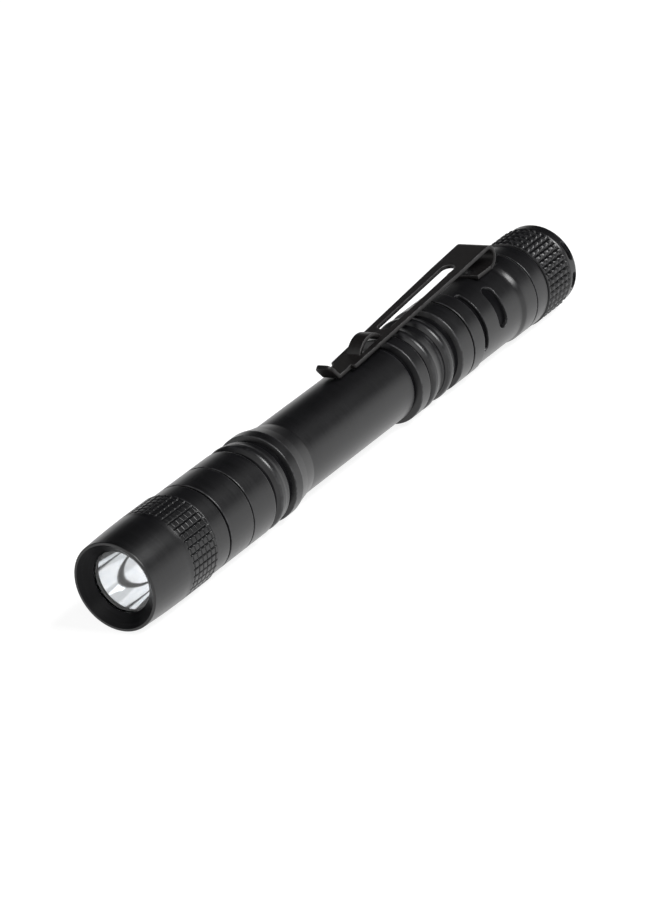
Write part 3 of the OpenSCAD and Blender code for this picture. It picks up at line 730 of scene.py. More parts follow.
def make_barrel():
    """The barrel: threaded neck, grooved collar, slim tube, ribs, slotted waist and tail socket."""
    pen = Pen()
    plain = even(SMOOTH)
    band_end = BARREL_START + 5.8
    crest = band_end + 2.1
    groove = crest + 2.5
    flange = groove + 1.3
    flange_end = flange + 1.7
    cone_end = flange_end + 4.6
    step_end = BARREL_END - 3.4
    step_start = step_end - 1.4
    band_e = BARREL_END - 17.1
    ring_groove = BARREL_END - 20.6
    band_d = BARREL_END - 24.1
    rib_c = BARREL_END - 28
    rib_b = BARREL_END - 32.6
    band_a_end = BARREL_END - 34.4
    band_a = BARREL_END - 36.7
    slim_end = band_a - 1.2
    # a corner's fourth value sets its mark: 0.4 paints the rounded crests a little lighter, partly as
    # rubbed metal and partly as a painted highlight, and -1 and -0.5 paint shade into the valleys
    pen.turned(
        lay_neck(pen, NECK_START, BARREL_START) + [
            (BARREL_START, RIB_R, 0.1),
            (band_end, RIB_R, 0.3, 0), (band_end + 0.55, VALLEY_R, 0.12, -1),
            (band_end + 1.15, VALLEY_R, 0.12, -1),
            (crest - 0.15, RIB_R + 0.02, 0.6, 0.4), (crest + 0.8, RIB_R - 0.04, 0.6, 0.4),
            (crest + 1.4, RIB_R - 0.2, 0.3, 0), (groove - 0.25, RIB_R - 0.3, 0.15, 0),
            (groove - 0.05, VALLEY_R - 0.1, 0.06), (groove + 0.95, VALLEY_R - 0.1, 0.06),
            (flange - 0.1, FLANGE_R, 0.12), (flange_end, FLANGE_R, 0.5),
            (flange_end + 2, SLIM_R + 0.48, 1.2), (cone_end, SLIM_R, 1.5),
            (slim_end, SLIM_R, 0.1), (slim_end + 0.1, SLIM_R - 0.28, 0.05),
            (slim_end + 0.85, SLIM_R - 0.28, 0.06), (band_a - 0.1, RIB_R, 0.14),
            (band_a_end, RIB_R, 0.25, 0), (band_a_end + 0.6, VALLEY_R, 0.12, -1),
            (band_a_end + 0.95, VALLEY_R, 0.12, -1),
            (rib_b - 0.3, RIB_R + 0.02, 0.6, 0.4), (rib_b + 0.6, RIB_R + 0.02, 0.7, 0.4),
            (rib_b + 2.9, VALLEY_R + 0.1, 0.3, -0.5), (rib_b + 3.7, VALLEY_R + 0.05, 0.12, -1),
            (rib_c - 0.3, RIB_R + 0.02, 0.6, 0.4), (rib_c + 0.6, RIB_R + 0.02, 0.7, 0.4),
            (rib_c + 2.0, VALLEY_R + 0.2, 0.15, -0.5), (rib_c + 2.15, VALLEY_R - 0.15, 0.06),
            (band_d - 0.45, VALLEY_R - 0.15, 0.06), (band_d - 0.1, RIB_R, 0.16),
            *line_groove(ring_groove),
            (band_e, RIB_R, 0.1), (band_e, WAIST_R, None),
        ],
        plain, arc_steps=2,
    )
    lay_waist(pen, band_e + 0.06, step_start)
    seat_stations = np.array([0.05, 0.25, 0.4, 0.7, 1.0, 1.2, 1.4])
    rise = seat_stations / seat_stations[-1]
    step_radius = WAIST_R + (FLANGE_R - WAIST_R) * rise * rise * (3 - 2 * rise)
    tail = profile(
        [(s, r, None) for s, r in zip(step_start + seat_stations, step_radius)] + [
            (step_end + 0.58, FLANGE_R, None), (step_end + 0.62, FLANGE_R, None),
            (BARREL_END, FLANGE_R, 0.11), (BARREL_END, SOCKET_R, 0.1),
            (BARREL_END - 0.6, SOCKET_R, None),
        ],
    )
    pen.lay(tail[:, 0], tail[:, 1], tail[:, 2], even(288), seat_shape)
    socket_end = BARREL_END - 7.5
    pen.turned([(BARREL_END - 0.8, SOCKET_R, None), (socket_end, SOCKET_R, 0.05),
                (socket_end, BORE_R, 0.05), (NECK_START + 2, BORE_R, None)], even(THREAD_TURNED))
    pen.close()
    return pen.build("barrel_skin", sharp=50)


BEND_R = 2.05
BEND_X = last("pocket_clip") - BEND_R
CLIP_HALF = 2.95
FOOT_START = first("clip_foot")


def seat_shape(station, angle, radius):
    """Flattens the barrel's top to the clip's seat: heights above the seat are brought down to it."""
    height, side = radius * np.cos(np.radians(angle)), radius * np.sin(np.radians(angle))
    inside = np.abs(side) < CLIP_HALF + 0.15
    inside &= (station > FOOT_START - 0.2) & (station < BEND_X + BEND_R + 0.6)
    height = np.where(inside & (height > SEAT_HEIGHT), SEAT_HEIGHT, height)
    return station, np.degrees(np.arctan2(side, height)), np.hypot(side, height)


def lay_waist(pen, start, end):
    """Lays the waist behind the bands, with its two milled slots on each side."""
    bevel = 0.07
    floor = WAIST_R - 0.55
    slots = slot(BARREL_END - 16.15, 0.66, 19.5, 114.5, WAIST_R)
    slots += slot(BARREL_END - 10.5, 1.3, 35.0, 99.0, WAIST_R)
    angles = fine_angles([(17, 27), (33, 48), (86, 101), (107, 117)], 0.75, 1.5)
    fine, wide = 0.085, 0.5
    marks = [start, start + 0.12, BARREL_END - 16.95, BARREL_END - 15.35, BARREL_END - 12.0,
             BARREL_END - 9.0, end]
    seat = FOOT_START - 0.2
    stations = stretch_rows(marks, [0.1, 0.1, fine, wide, fine, wide])
    stations = np.unique(np.concatenate([stations, [seat - 0.02, seat + 0.02]]))
    waist = Slotted(pen, stations, np.full(len(stations), WAIST_R), 0.0, angles, slots, bevel)
    # the walls' last rings and the floor are marked -1 for painted shade
    foot = [(0.0, floor + 0.06, 0, -1.0), (-0.06, floor, 0, -1.0)]
    place, rim = waist.walls(rounded_rim(bevel) + foot)
    waist.floor(floor, place, rim)


# angles from the clip between which the cord slots run
LANYARD_SPANS = [(50, 78), (95, 123)]


def make_cap():
    """The tail cap: threaded skirt, knurled grip, round end with four cord slots, button's recess."""
    pen = Pen()
    angles = knurl_angles(KNURL_CUTS, CAP_EDGE)
    knurl_start = CAP_START + 3.7
    knurl_length = 7.2
    knurl_end = knurl_start + knurl_length
    recess_r = RIB_R - 2.2
    recess_floor = CAP_END - 3
    wall_front = recess_floor - 1.1
    button_r = 3.3
    round_r = 1.0
    outer = FLANGE_R - 0.05
    pen.turned(
        lay_neck(pen, SKIRT_START, CAP_START) + [
            (CAP_START, FLANGE_R, 0.11), (knurl_start - 0.5, FLANGE_R, None),
        ],
        even(SMOOTH),
    )
    rows = knurl_rows(knurl_start, knurl_length, CAP_ROWS, CAP_ROW_EDGE)
    lead = np.array([knurl_start - 0.32, knurl_start - 0.2, knurl_start - 0.1])
    tail = np.array([knurl_end + 0.06, knurl_end + 0.18])
    stations = np.concatenate([lead, rows, tail])
    relief_r = FLANGE_R - 0.16
    top = np.concatenate([[FLANGE_R, relief_r, relief_r], np.full(len(rows), KNURL_R),
                          [relief_r, relief_r]])
    relief = knurl_shape(KNURL_CUTS, CAP_ROWS, knurl_start, knurl_length, 0.34, 0.3,
                         CAP_EDGE, CAP_ROW_EDGE)
    # the knurl's pad tops are painted lighter, partly as rubbed metal and partly as a painted highlight
    pen.lay(stations, top, np.where(top == KNURL_R, PAD_RUBBED_AND_HIGHLIGHT, 0.0), angles, relief)
    lanyard = [one for span in LANYARD_SPANS for one in slot(CAP_END - 1.3, 0.62, *span, outer)]
    fine = fine_angles([(start - 2, end + 2) for start, end in LANYARD_SPANS], 0.75, 1.8)
    stations = np.concatenate([[knurl_end + 0.3, knurl_end + 0.5],
                               np.arange(CAP_END - 2.1, CAP_END - 0.5, 0.09)])
    past = np.clip(stations - (CAP_END - round_r), 0, round_r)
    radii = outer - round_r + np.sqrt(round_r ** 2 - past ** 2)
    bevel = 0.08
    outside = Slotted(pen, stations, radii, 0.0, fine, lanyard, bevel)
    turn = np.radians(np.linspace(35, 90, 8))
    turn = turn[round_r * np.sin(turn) > stations[-1] - (CAP_END - round_r) + 0.03]
    arc = [(CAP_END - round_r + round_r * math.sin(t), outer - round_r + round_r * math.cos(t), None)
           for t in turn]
    pen.turned(arc + [(CAP_END, recess_r, 0.16), (CAP_END - 0.35, recess_r, None)], even(SMOOTH))
    inner_stations = stations[stations > recess_floor + 0.6][::-1]
    inner_stations = inner_stations[inner_stations < CAP_END - 0.42]
    inner_radii = np.full(len(inner_stations), recess_r)
    inside = Slotted(pen, inner_stations, inner_radii, 0.0, fine, lanyard, 0.0)
    pierce(pen, outside, inside, bevel)
    pen.turned(
        [
            (recess_floor + 0.5, recess_r, None), (recess_floor, recess_r, 0.15),
            (recess_floor, button_r, 0.08), (wall_front, button_r, 0.08), (wall_front, BORE_R, 0.1),
            (SKIRT_START + 2, BORE_R, None),
        ],
        even(THREAD_TURNED),
    )
    pen.close()
    return pen.build("cap_skin", sharp=50)


def pierce(pen, outside, inside, bevel):
    """Joins the rims of through slots on the outer and the inner surface by straight walls."""
    rim = outside.walls(rounded_rim(bevel))[1]
    inner_rim = inside.walls([])[1]
    for a, b in zip(outside.slot_order(), inside.slot_order()):
        pen.join_rings(rim[a[0]], a[1], inner_rim[b[0]], b[1])


SHEET = 0.7
SEAT_GAP = 0.025
SLOPE, FLARE = 4.8, 54.0
LIP_LENGTH, LIP_ROOT = 3.2, 3.4
LIP_BEND_R = 0.6
LIP_TANGENT = LIP_BEND_R * math.tan(math.radians(FLARE / 2))
LIP_BEND = LIP_BEND_R * math.radians(FLARE)
LIP = LIP_LENGTH - 2 * LIP_TANGENT + LIP_BEND + LIP_ROOT


def make_clip():
    """The sprung clip: one bent sheet with a flared lip, a long slot and a loop pressed up from it."""
    bevel = 0.1
    lean = math.radians(FLARE - SLOPE)
    bend_start = first("pocket_clip") + SHEET / 2 * math.sin(lean) + LIP_LENGTH * math.cos(lean)
    blade = (BEND_X - bend_start) / math.cos(math.radians(SLOPE))
    bend_length = (BEND_R - SHEET / 2) * math.radians(180 + SLOPE)
    stretches = [
        (LIP_LENGTH - LIP_TANGENT, 0, 12), (LIP_BEND, FLARE, 10), (blade - LIP_TANGENT, 0, 60),
        (bend_length, -(180 + SLOPE), 48),
    ]
    distance, line, heading = path((0, 0), SLOPE - FLARE, stretches)
    line = line - line[-1] + np.array([BEND_X, SEAT_HEIGHT + SEAT_GAP + SHEET / 2])
    total = distance[-1]
    shell = Shell()
    outer, inner = clip_outline(distance, line, total, bevel)
    flat, faces = mirrored_pattern(inner, outer, 7)
    bend_sheet(shell, flat, faces, (distance, line, heading), SHEET, bevel)
    make_loop(shell, distance, line, SHEET - 0.04)
    return shell.build("clip_sheet", sharp=60)


def along_of(distance, line, station):
    """Distance along the path's blade at which it reaches a station."""
    limit = np.argmax(line[:, 0])
    return np.interp(station, line[:limit, 0], distance[:limit])


SLOT_REAR = BEND_X - 8.2
SLOT_LENGTH = 20.05
LOOP_LENGTH = 6.8
LOOP_REAR = SLOT_REAR - SLOT_LENGTH - 3.2
LOOP_HALF = CLIP_HALF * 0.42


def clip_outline(distance, line, total, bevel):
    """The right half of the clip's flat pattern: its outer line and the inner line around its openings.

    Around a round end of the slot the rows follow the angle of a circle, around the loop's opening that
    of a rounded box, and elsewhere they are evenly spaced.
    """
    lip_half, front_half = CLIP_HALF * 0.53, CLIP_HALF * 0.78
    corner, tip_corner, tip_depth = 0.4, 0.9, 1.35
    slot_half = CLIP_HALF * 0.41 + bevel
    loop_half = LOOP_HALF + bevel + 0.03
    turn = np.radians(np.linspace(0, 90, 9))
    tip = beside(tip_depth - (tip_depth - bevel) * np.cos(turn),
                 lip_half - tip_corner + (tip_corner - bevel) * np.sin(turn))
    shoulder = beside(LIP + corner - (corner - bevel) * np.cos(turn),
                      front_half - corner + (corner - bevel) * np.sin(turn))
    lip_end = LIP_LENGTH - LIP_TANGENT
    neck_along = np.concatenate([[1.7, 2.2, 2.6], np.linspace(lip_end, lip_end + LIP_BEND, 9),
                                 np.linspace(lip_end + LIP_BEND + 0.3, LIP + 0.02, 5)])
    neck = beside(neck_along, lip_half - bevel)
    taper_end = along_of(distance, line, SLOT_REAR)
    outer = [tip, neck, shoulder]
    inner = [part * [1, 0] for part in outer]

    def edge_at(along):
        """The outer line of the tapered blade at each distance."""
        across = np.interp(along, [LIP + corner, taper_end], [front_half, CLIP_HALF]) - bevel
        return beside(along, across)

    def opening(start, end, half, power, depth):
        """Rows beside one opening, whose inner line is a box with rounded ends of the given depth."""
        quarter = np.radians(np.linspace(0, 90, 13))
        across = half * np.cos(quarter) ** (2 / power)
        ahead = depth * np.sin(quarter) ** (2 / power)
        front_in = beside(start + depth - ahead, across)[::-1]
        rear_in = beside(end - depth + ahead, across)
        middle = np.linspace(start + depth, end - depth, 12)[1:-1]
        middle_in = beside(middle, half)
        inside = np.vstack([front_in, middle_in, rear_in])
        edge = np.linspace(start - 0.5, end + 0.5, len(inside))
        return inside, edge_at(0.5 * edge + 0.5 * inside[:, 0])

    loop_start = along_of(distance, line, LOOP_REAR - LOOP_LENGTH) - bevel
    loop_end = along_of(distance, line, LOOP_REAR) + bevel
    slot_start = along_of(distance, line, SLOT_REAR - SLOT_LENGTH) - slot_half
    slot_end = along_of(distance, line, SLOT_REAR) + slot_half
    loop_in, loop_out = opening(loop_start, loop_end, loop_half, 6, 0.5)
    slot_in, slot_out = opening(slot_start, slot_end, slot_half, 2, slot_half)

    def plain(start, end, count):
        """Evenly spaced full rows."""
        along = np.linspace(start, end, count)
        return beside(along, 0), edge_at(along)

    for part_in, part_out in (
        plain(LIP + 0.7, loop_start - 0.7, 3), (loop_in, loop_out),
        plain(loop_end + 0.6, slot_start - 0.6, 3), (slot_in, slot_out),
        plain(slot_end + 0.7, total - 5.6, 8), plain(total - 5.5, total - bevel, 50),
    ):
        inner.append(part_in)
        outer.append(part_out)
    return np.vstack(outer), np.vstack(inner)


STRIP_BEVEL = 0.08


def bend_strip(shell, along, half, line, thickness):
    """Makes a bent strip of even width, whose rows lie at the given distances along the line."""
    flat, faces = mirrored_pattern(beside(along, 0), beside(along, half - STRIP_BEVEL), 5)
    bend_sheet(shell, flat, faces, line, thickness, STRIP_BEVEL)


def make_loop(shell, distance, line, thickness):
    """The loop pressed up from the blade: a narrow strip that follows a fillet, an arch and a fillet."""
    rise, fillet, overlap = 1.7, 0.5, 0.25
    half = LOOP_LENGTH / 2
    steep = 2 * math.atan(rise / half)
    whole = half / math.sin(steep)
    angle = math.degrees(steep)
    stretches = [
        (overlap, 0, 2), (fillet * steep, angle, 8), ((whole - fillet) * 2 * steep, -2 * angle, 40),
        (fillet * steep, angle, 8), (overlap, 0, 2),
    ]
    start = along_of(distance, line, LOOP_REAR - LOOP_LENGTH) - overlap
    begin = (np.interp(start, distance, line[:, 0]), np.interp(start, distance, line[:, 1]))
    loop = path(begin, SLOPE, stretches)
    along = loop[0].copy()
    along[0] += STRIP_BEVEL
    along[-1] -= STRIP_BEVEL
    bend_strip(shell, along, LOOP_HALF, loop, thickness)


def make_foot():
    """The clip's riveted foot: a short flat strip in the barrel's seat."""
    shell = Shell()
    start, end = FOOT_START, last("clip_foot")
    foot = path((start, SEAT_HEIGHT + SHEET / 2), 0, [(end - start, 0, 4)])
    along = np.linspace(STRIP_BEVEL, end - start - STRIP_BEVEL, 6)
    bend_strip(shell, along, CLIP_HALF, foot, SHEET)
    return shell.build("clip_foot_sheet", sharp=60)


def make_window():
    """The clear window: a disc with softened edges."""
    pen = Pen()
    radius = half_height("front_lens")
    pen.pole(LENS_START)
    pen.turned([(LENS_START, 0.5, None), (LENS_START, radius, 0.1), (LENS_END, radius, 0.1),
                (LENS_END, 0.5, None)], even(128))
    pen.pole(LENS_END)
    return pen.build("window_glass", sharp=50)


def make_reflector():
    """The bright bowl: its radius grows with the square root of the depth, as a parabola's does."""
    pen = Pen()
    mouth_x, neck_x = first("reflector"), last("reflector")
    depth = neck_x - mouth_x
    neck, mouth, wall = 2.0, WINDOW_R + 0.1, 0.5
    share = np.linspace(0, 1, 40) ** 1.5
    stations = neck_x - depth * share
    radii = neck + (mouth - neck) * np.sqrt(share)
    back = share[:-6][::-1]
    rows = [(s, r) for s, r in zip(stations, radii)]
    rows += [(mouth_x, OPTIC_R - 0.2), (mouth_x + 0.8, OPTIC_R - 0.2)]
    rows += [(neck_x - depth * b, neck + (mouth - neck) * math.sqrt(b) + wall)
             for b in back if depth * (1 - b) > 0.9]
    rows = np.array(rows)[::-1]
    pen.lay(rows[:, 0], rows[:, 1], rows[:, 0] * 0, even(128))
    pen.close()
    return pen.build("reflector_bowl", sharp=40)


def make_coil(name, node, start_r, end_r, turns, wire_r):
    """A coil spring: a circle of wire carried along a helix whose ends lie flat for most of a turn."""
    start, end = first(node), last(node)
    rings, sides = int(turns * 36), 12
    dead = 0.8
    # a dead turn rises by a little more than the wire's thickness
    closed = dead * 2.1 * wire_r
    turn = np.linspace(0, turns, rings + 1)
    middle = np.clip(turn - dead, 0, turns - 2 * dead)
    ends = np.minimum(turn, dead) + np.clip(turn - turns + dead, 0, None)
    lift = (end - start - 2 * wire_r - 2 * closed) * middle / (turns - 2 * dead) + closed * ends / dead
    radius = start_r + (end_r - start_r) * turn / turns
    around = np.radians(np.arange(sides) * 360 / sides)[None, :]
    shell = Shell()
    station = start + wire_r + lift[:, None] + wire_r * np.sin(around)
    reach = radius[:, None] + wire_r * np.cos(around)
    number = shell.add(around_pen(station, turn[:, None] * 360, reach))
    shell.quads(number)
    for row, flip in ((number[0], 1), (number[-1], -1)):
        centre = shell.add(np.concatenate(shell.points)[row].mean(axis=0)[None])
        ring = np.append(row, row[0])[::flip]
        shell.faces.append(beside(ring[1:], ring[:-1], centre[0]))
    return shell.build(name, sharp=60)


def make_button():
    """The tail button: a rubber boot with a flange, a round skirt and a shallow dome."""
    pen = Pen()
    start, end = first("tail_button"), last("tail_button")
    radius, stem = 3.2, 1.5
    flange_end = start + 0.7
    dome = 0.5
    sweep = np.radians(np.linspace(0, 88, 14))
    crown = [(end - dome + dome * math.sin(t), radius - dome + dome * math.cos(t), None)
             for t in sweep[:-4]]
    flat = [(end - 0.02 * (1 - k), (1 - k) * (crown[-1][1] - 0.05) + 0.02, None)
            for k in np.linspace(0.05, 0.95, 8)]
    pen.turned(
        [
            (flange_end, stem, None), (start, stem, 0.05), (start, radius + 0.9, 0.12),
            (flange_end, radius + 0.9, 0.12), (flange_end, radius, 0.1),
            (end - dome - 0.3, radius, None),
        ] + crown + flat,
        even(96),
    )
    pen.pole(end)
    ring = pen.rings[0]
    number = pen.add(around_pen(np.array([[flange_end]]), 0.0, 0.0))
    pen.join_rings(number[0], np.zeros(1), ring[0], ring[2])
    return pen.build("button_boot", sharp=60)


# ---- finishes ----


def shader(name):
    """A new material with its Principled shader and a maker for further nodes."""
    material = bpy.data.materials.new(name)
    material.use_nodes = True
    tree = material.node_tree
    principled = tree.nodes["Principled BSDF"]

    def node(kind, **values):
        made = tree.nodes.new(kind)
        for key, value in values.items():
            socket = key.replace("_", " ")
            if socket in made.inputs:
                made.inputs[socket].default_value = value
            else:
                setattr(made, key, value)
        return made

    return material, tree.links.new, principled, node


def set_sockets(node, **values):
    """Sets a node's sockets, named with underscores for spaces."""
    for key, value in values.items():
        node.inputs[key.replace("_", " ")].default_value = value


def grained(name, dark, light, roughness, grain=(1, 1, 1), scale=900.0, bump=0.05, depth=0.00002,
            rubbed_and_highlight_colour=None, spread=0.06, painted_shade_shine=None, **sockets):
    """A finish whose colour, roughness and height follow stretched noise on Object coordinates.

    grain squeezes the noise along X, Y and Z. The edge colour, if given, is the colour that edges with a
    positive mark turn towards, partly as rubbed metal and partly as a painted highlight. The groove
    shine, if given, is the shine that is left at the bottom of marked grooves, as painted shade.
    """
    material, link, principled, node = shader(name)
    set_sockets(principled, **sockets)
    where = node("ShaderNodeTexCoord")
    stretch = node("ShaderNodeMapping", Scale=grain)
    noise = node("ShaderNodeTexNoise", Scale=scale, Detail=4.0, Roughness=0.6)
    link(where.outputs["Object"], stretch.inputs["Vector"])
    link(stretch.outputs["Vector"], noise.inputs["Vector"])
    ramp = node("ShaderNodeValToRGB")
    ramp.color_ramp.elements[0].position, ramp.color_ramp.elements[1].position = 0.35, 0.65
    ramp.color_ramp.elements[0].color = (*dark, 1)
    ramp.color_ramp.elements[1].color = (*light, 1)
    link(noise.outputs["Fac"], ramp.inputs["Fac"])
    colour = ramp.outputs["Color"]
    # marked edges turn lighter: partly rubbed metal, partly a painted highlight
    if rubbed_and_highlight_colour:
        mark = node("ShaderNodeAttribute", attribute_name="wear_and_painted_light")
        patch = node("ShaderNodeTexNoise", Scale=1200.0, Detail=3.0)
        link(where.outputs["Object"], patch.inputs["Vector"])
        chance = node("ShaderNodeMapRange", From_Min=0.3, From_Max=0.75)
        amount = node("ShaderNodeMath", operation="MULTIPLY", use_clamp=True)
        mix = node("ShaderNodeMix", data_type="RGBA")
        mix.inputs["B"].default_value = (*rubbed_and_highlight_colour, 1)
        link(patch.outputs["Fac"], chance.inputs["Value"])
        link(mark.outputs["Fac"], amount.inputs[0])
        link(chance.outputs["Result"], amount.inputs[1])
        link(amount.outputs["Value"], mix.inputs["Factor"])
        link(colour, mix.inputs["A"])
        colour = mix.outputs["Result"]
    # marks below nought take the shine away: painted shade in grooves, slot floors, recesses and cut
    # sides
    if painted_shade_shine is not None:
        shade_mark = node("ShaderNodeAttribute", attribute_name="wear_and_painted_light")
        shine = node("ShaderNodeMapRange", From_Min=-1.0, From_Max=0.0, To_Min=painted_shade_shine, To_Max=0.5)
        link(shade_mark.outputs["Fac"], shine.inputs["Value"])
        link(shine.outputs["Result"], principled.inputs["Specular IOR Level"])
    link(colour, principled.inputs["Base Color"])
    rough = node("ShaderNodeMapRange", To_Min=roughness - spread, To_Max=roughness + spread)
    link(noise.outputs["Fac"], rough.inputs["Value"])
    link(rough.outputs["Result"], principled.inputs["Roughness"])
    height = node("ShaderNodeBump", Strength=bump, Distance=depth)
    link(noise.outputs["Fac"], height.inputs["Height"])
    link(height.outputs["Normal"], principled.inputs["Normal"])
    return material


TURNED = (1.0, 0.04, 0.04)


def anodised_black():
    """Black anodised aluminium with the fine turning lines of the lathe, edges painted brighter partly
    as rubbed metal and partly as a painted highlight, and painted shade that takes the shine out of
    marked grooves and recesses.
    """
    return grained("anodised_black", (0.003, 0.003, 0.0034), (0.006, 0.006, 0.0068), 0.32,
                   grain=TURNED, scale=6000.0, bump=0.12, depth=0.00001,
                   rubbed_and_highlight_colour=(0.05, 0.05, 0.053), painted_shade_shine=0.03, IOR=1.5)


def clip_steel():
    """Blackened spring steel, a little warmer than the barrel, with grey cut edges that are partly bare
    metal and partly a painted highlight, and painted shade that takes the shine off its cut sides.
    """
    return grained("clip_steel", (0.005, 0.0045, 0.0045), (0.009, 0.008, 0.008), 0.4, scale=2500.0,
                   bump=0.15, depth=0.00001, rubbed_and_highlight_colour=(0.09, 0.09, 0.09), painted_shade_shine=0.05, IOR=1.42)


def clear_window():
    """Clear window with a faint cool tint and hair-fine dust marks."""
    return grained("clear_window", (0.96, 0.98, 1.0), (1.0, 1.0, 1.0), 0.012, scale=800.0, bump=0.004,
                   depth=0.000001, spread=0.01, Transmission_Weight=1.0, IOR=1.46)


def bright_bowl():
    """Aluminium coated bowl, nearly a mirror, with a slight ripple."""
    return grained("bright_bowl", (0.90, 0.91, 0.92), (0.96, 0.96, 0.96), 0.07, scale=350.0, bump=0.2,
                   depth=0.00002, spread=0.03, Metallic=1.0)


def metal(name, dark, light, roughness, grain=(1, 1, 1)):
    """A plain bare or plated metal."""
    return grained(name, dark, light, roughness, grain=grain, scale=2200.0, bump=0.1,
                   depth=0.00001, Metallic=1.0)


def moulded(name, dark, light, roughness, scale=1500.0, bump=0.2):
    """A plastic, rubber, ceramic or lacquer with a fine moulded grain."""
    return grained(name, dark, light, roughness, scale=scale, bump=bump, depth=0.00003)


def board(name, mask, track):
    """A circuit board: square patches of lacquer around scattered points, with tracks between them."""
    material, link, principled, node = shader(name)
    where = node("ShaderNodeTexCoord")
    cells = node("ShaderNodeTexVoronoi", Scale=900.0, distance="CHEBYCHEV")
    limit = node("ShaderNodeMapRange", From_Min=0.30, From_Max=0.34)
    mix = node("ShaderNodeMix", data_type="RGBA")
    mix.inputs["A"].default_value, mix.inputs["B"].default_value = (*mask, 1), (*track, 1)
    height = node("ShaderNodeBump", Strength=0.4, Distance=0.00003)
    link(where.outputs["Object"], cells.inputs["Vector"])
    link(cells.outputs["Distance"], limit.inputs["Value"])
    link(limit.outputs["Result"], mix.inputs["Factor"])
    link(mix.outputs["Result"], principled.inputs["Base Color"])
    link(limit.outputs["Result"], height.inputs["Height"])
    link(height.outputs["Normal"], principled.inputs["Normal"])
    set_sockets(principled, Roughness=0.3)
    return material


def finishes():
    """Every finish by the name of its slot in the record."""
    return {
        "anodised_black": anodised_black(),
        "clip_steel": clip_steel(),
        "clear_window": clear_window(),
        "bright_bowl": bright_bowl(),
        "seal_rubber": moulded("seal_rubber", (0.010, 0.010, 0.010), (0.02, 0.02, 0.02), 0.55),
        "insulator": moulded("insulator", (0.72, 0.70, 0.62), (0.82, 0.80, 0.72), 0.5),
        "led_body": moulded("led_body", (0.75, 0.72, 0.45), (0.88, 0.86, 0.62), 0.25, 3000.0),
        "white_board": board("white_board", (0.80, 0.80, 0.77), (0.88, 0.88, 0.86)),
        "brass_parts": metal("brass_parts", (0.62, 0.45, 0.18), (0.78, 0.60, 0.28), 0.28, TURNED),
        "lead_wire": moulded("lead_wire", (0.45, 0.03, 0.02), (0.58, 0.05, 0.03), 0.4),
        "green_board": board("green_board", (0.01, 0.10, 0.035), (0.03, 0.20, 0.07)),
        "chip_plastic": moulded("chip_plastic", (0.015, 0.015, 0.017), (0.03, 0.03, 0.032), 0.45),
        "spring_wire": metal("spring_wire", (0.66, 0.52, 0.26), (0.82, 0.68, 0.38), 0.22),
        "cell_steel": metal("cell_steel", (0.52, 0.53, 0.55), (0.68, 0.69, 0.70), 0.3, TURNED),
        "cell_sleeve": moulded("cell_sleeve", (0.16, 0.012, 0.02), (0.24, 0.02, 0.03), 0.25,
                               700.0, 0.05),
        "rivet_steel": metal("rivet_steel", (0.03, 0.03, 0.031), (0.06, 0.06, 0.062), 0.4),
        "switch_plastic": moulded("switch_plastic", (0.018, 0.018, 0.02), (0.03, 0.03, 0.033), 0.4),
        "plunger_plastic": moulded("plunger_plastic", (0.62, 0.62, 0.57), (0.72, 0.72, 0.68), 0.4),
        "button_rubber": moulded("button_rubber", (0.012, 0.012, 0.013), (0.022, 0.022, 0.024), 0.6,
                                 2500.0, 0.35),
    }


# ---- the object ----


def place(piece, finish, slot_name, body, *nodes):
    """Gives a new piece its finish and its place in the frame."""
    piece.data.materials.append(finish[slot_name])
    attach(piece, body)
    if nodes:
        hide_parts(*nodes)


def finish_cad_nodes(finish):
    """Gives every CAD node the finish of its slot."""
    for part in frame["record"]["subparts"]:
        slot_name, mesh = part["material_slot"], frame["nodes"][part["node"]].data
        mesh.materials.clear()
        mesh.materials.append(finish[slot_name])


def make_object():
    """Makes the pieces that show, and finishes the CAD nodes that stay."""
    finish = finishes()
    finish_cad_nodes(finish)
    place(make_head(), finish, "anodised_black", "head", "head_shell")
    place(make_barrel(), finish, "anodised_black", "tube", "barrel")
    place(make_cap(), finish, "anodised_black", "cap", "tail_cap")
    place(make_window(), finish, "clear_window", "head", "front_lens")
    place(make_reflector(), finish, "bright_bowl", "light_module", "reflector")
    place(make_clip(), finish, "clip_steel", "clip", "pocket_clip")
    place(make_foot(), finish, "clip_steel", "tube", "clip_foot")
    place(make_coil("contact_coil", "front_contact_spring", 2.6, 1.2, 4.5, 0.25), finish,
          "spring_wire", "light_module", "front_contact_spring")
    place(make_coil("tail_coil", "tail_spring", 3.4, 3.4, 4.5, 0.3), finish,
          "spring_wire", "switch_module", "tail_spring")
    place(make_button(), finish, "button_rubber", "button", "tail_button")


# ---- the studio ----

EYE = Vector((-482.64, -350.32, 240.20))
EYE_RIGHT = Vector((0.52534, -0.83305, -0.17328))
EYE_UP = Vector((0.40436, 0.06523, 0.91226))
EYE_BACK = Vector((-0.74867, -0.54932, 0.37112))
LENS = 164.5
WALL_LIGHT, FRONT_LIGHT = 1.0, 0.8


def make_camera():
    """A long lens that looks down the pen from the front and a little above."""
    data = bpy.data.cameras.new("camera")
    data.lens, data.sensor_width = LENS, 36
    data.clip_start, data.clip_end = 0.01, 50
    camera = bpy.data.objects.new("camera", data)
    turn = Matrix((EYE_RIGHT, EYE_UP, EYE_BACK)).transposed().to_4x4()
    camera.matrix_world = Matrix.Translation(EYE * MM) @ turn
    bpy.context.scene.collection.objects.link(camera)
    bpy.context.scene.camera = camera


def softbox(name, towards, distance, width, height, power):
    """An area light that looks at the pen from a direction."""
    data = bpy.data.lights.new(name, "AREA")
    data.shape, data.size, data.size_y = "RECTANGLE", width, height
    data.energy = power
    lamp = bpy.data.objects.new(name, data)
    direction = Vector(towards).normalized()
    lamp.location = direction * distance
    lamp.rotation_euler = direction.to_track_quat("Z", "Y").to_euler()
    bpy.context.scene.collection.objects.link(lamp)


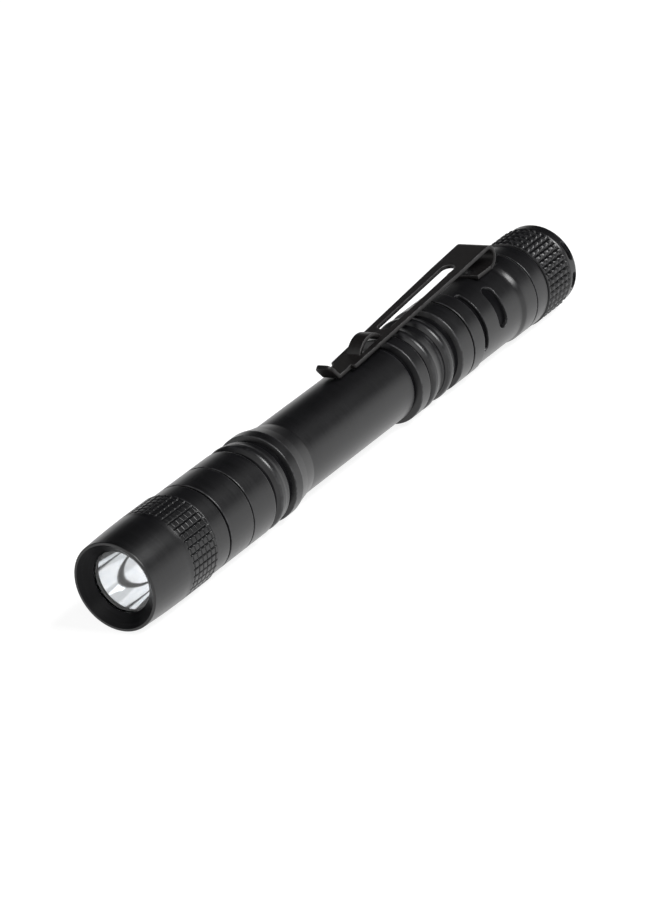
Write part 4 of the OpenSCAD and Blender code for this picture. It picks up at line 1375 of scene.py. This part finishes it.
def make_floor():
    """A plain pale floor that is softly lit from within, so that it stays even."""
    mesh = bpy.data.meshes.new("floor")
    half = 4.0
    corners = [(-half, -half, 0), (half, -half, 0), (half, half, 0), (-half, half, 0)]
    mesh.from_pydata(corners, [], [(0, 1, 2, 3)])
    floor = bpy.data.objects.new("floor", mesh)
    bpy.context.scene.collection.objects.link(floor)
    material, _, principled, _ = shader("pale_floor")
    set_sockets(principled, Base_Color=(0.3, 0.3, 0.3, 1), Roughness=0.9, Specular_IOR_Level=0.1)
    set_sockets(principled, Emission_Color=(1, 1, 1, 1), Emission_Strength=0.86)
    mesh.materials.append(material)


def make_world():
    """A studio that is pale near the floor and towards the lens end, and dark overhead and behind."""
    world = bpy.data.worlds.new("studio")
    world.use_nodes = True
    tree = world.node_tree
    where = tree.nodes.new("ShaderNodeTexCoord")
    split = tree.nodes.new("ShaderNodeSeparateXYZ")
    tree.links.new(where.outputs["Generated"], split.inputs["Vector"])
    bands = []
    for axis, start, end, bright in (("Z", 0.32, 0.10, WALL_LIGHT), ("X", -0.25, -0.55, FRONT_LIGHT)):
        band = tree.nodes.new("ShaderNodeMapRange")
        band.interpolation_type = "SMOOTHSTEP"
        set_sockets(band, From_Min=start, From_Max=end, To_Min=0.0, To_Max=bright)
        tree.links.new(split.outputs[axis], band.inputs["Value"])
        bands.append(band)
    brighter = tree.nodes.new("ShaderNodeMath")
    brighter.operation = "MAXIMUM"
    background = tree.nodes["Background"]
    tree.links.new(bands[0].outputs["Result"], brighter.inputs[0])
    tree.links.new(bands[1].outputs["Result"], brighter.inputs[1])
    tree.links.new(brighter.outputs["Value"], background.inputs["Strength"])
    background.inputs["Color"].default_value = (1, 1, 1, 1)
    bpy.context.scene.world = world


def make_studio():
    """Camera, floor, walls and lights."""
    make_camera()
    make_floor()
    make_world()
    bpy.context.scene.view_settings.view_transform = "Standard"
    softbox("key", (0.15, -0.65, 0.75), 0.9, 0.5, 0.35, 9)
    softbox("front_fill", (-0.9, -0.2, 0.5), 1.2, 0.8, 0.5, 2)


make_object()
make_studio()
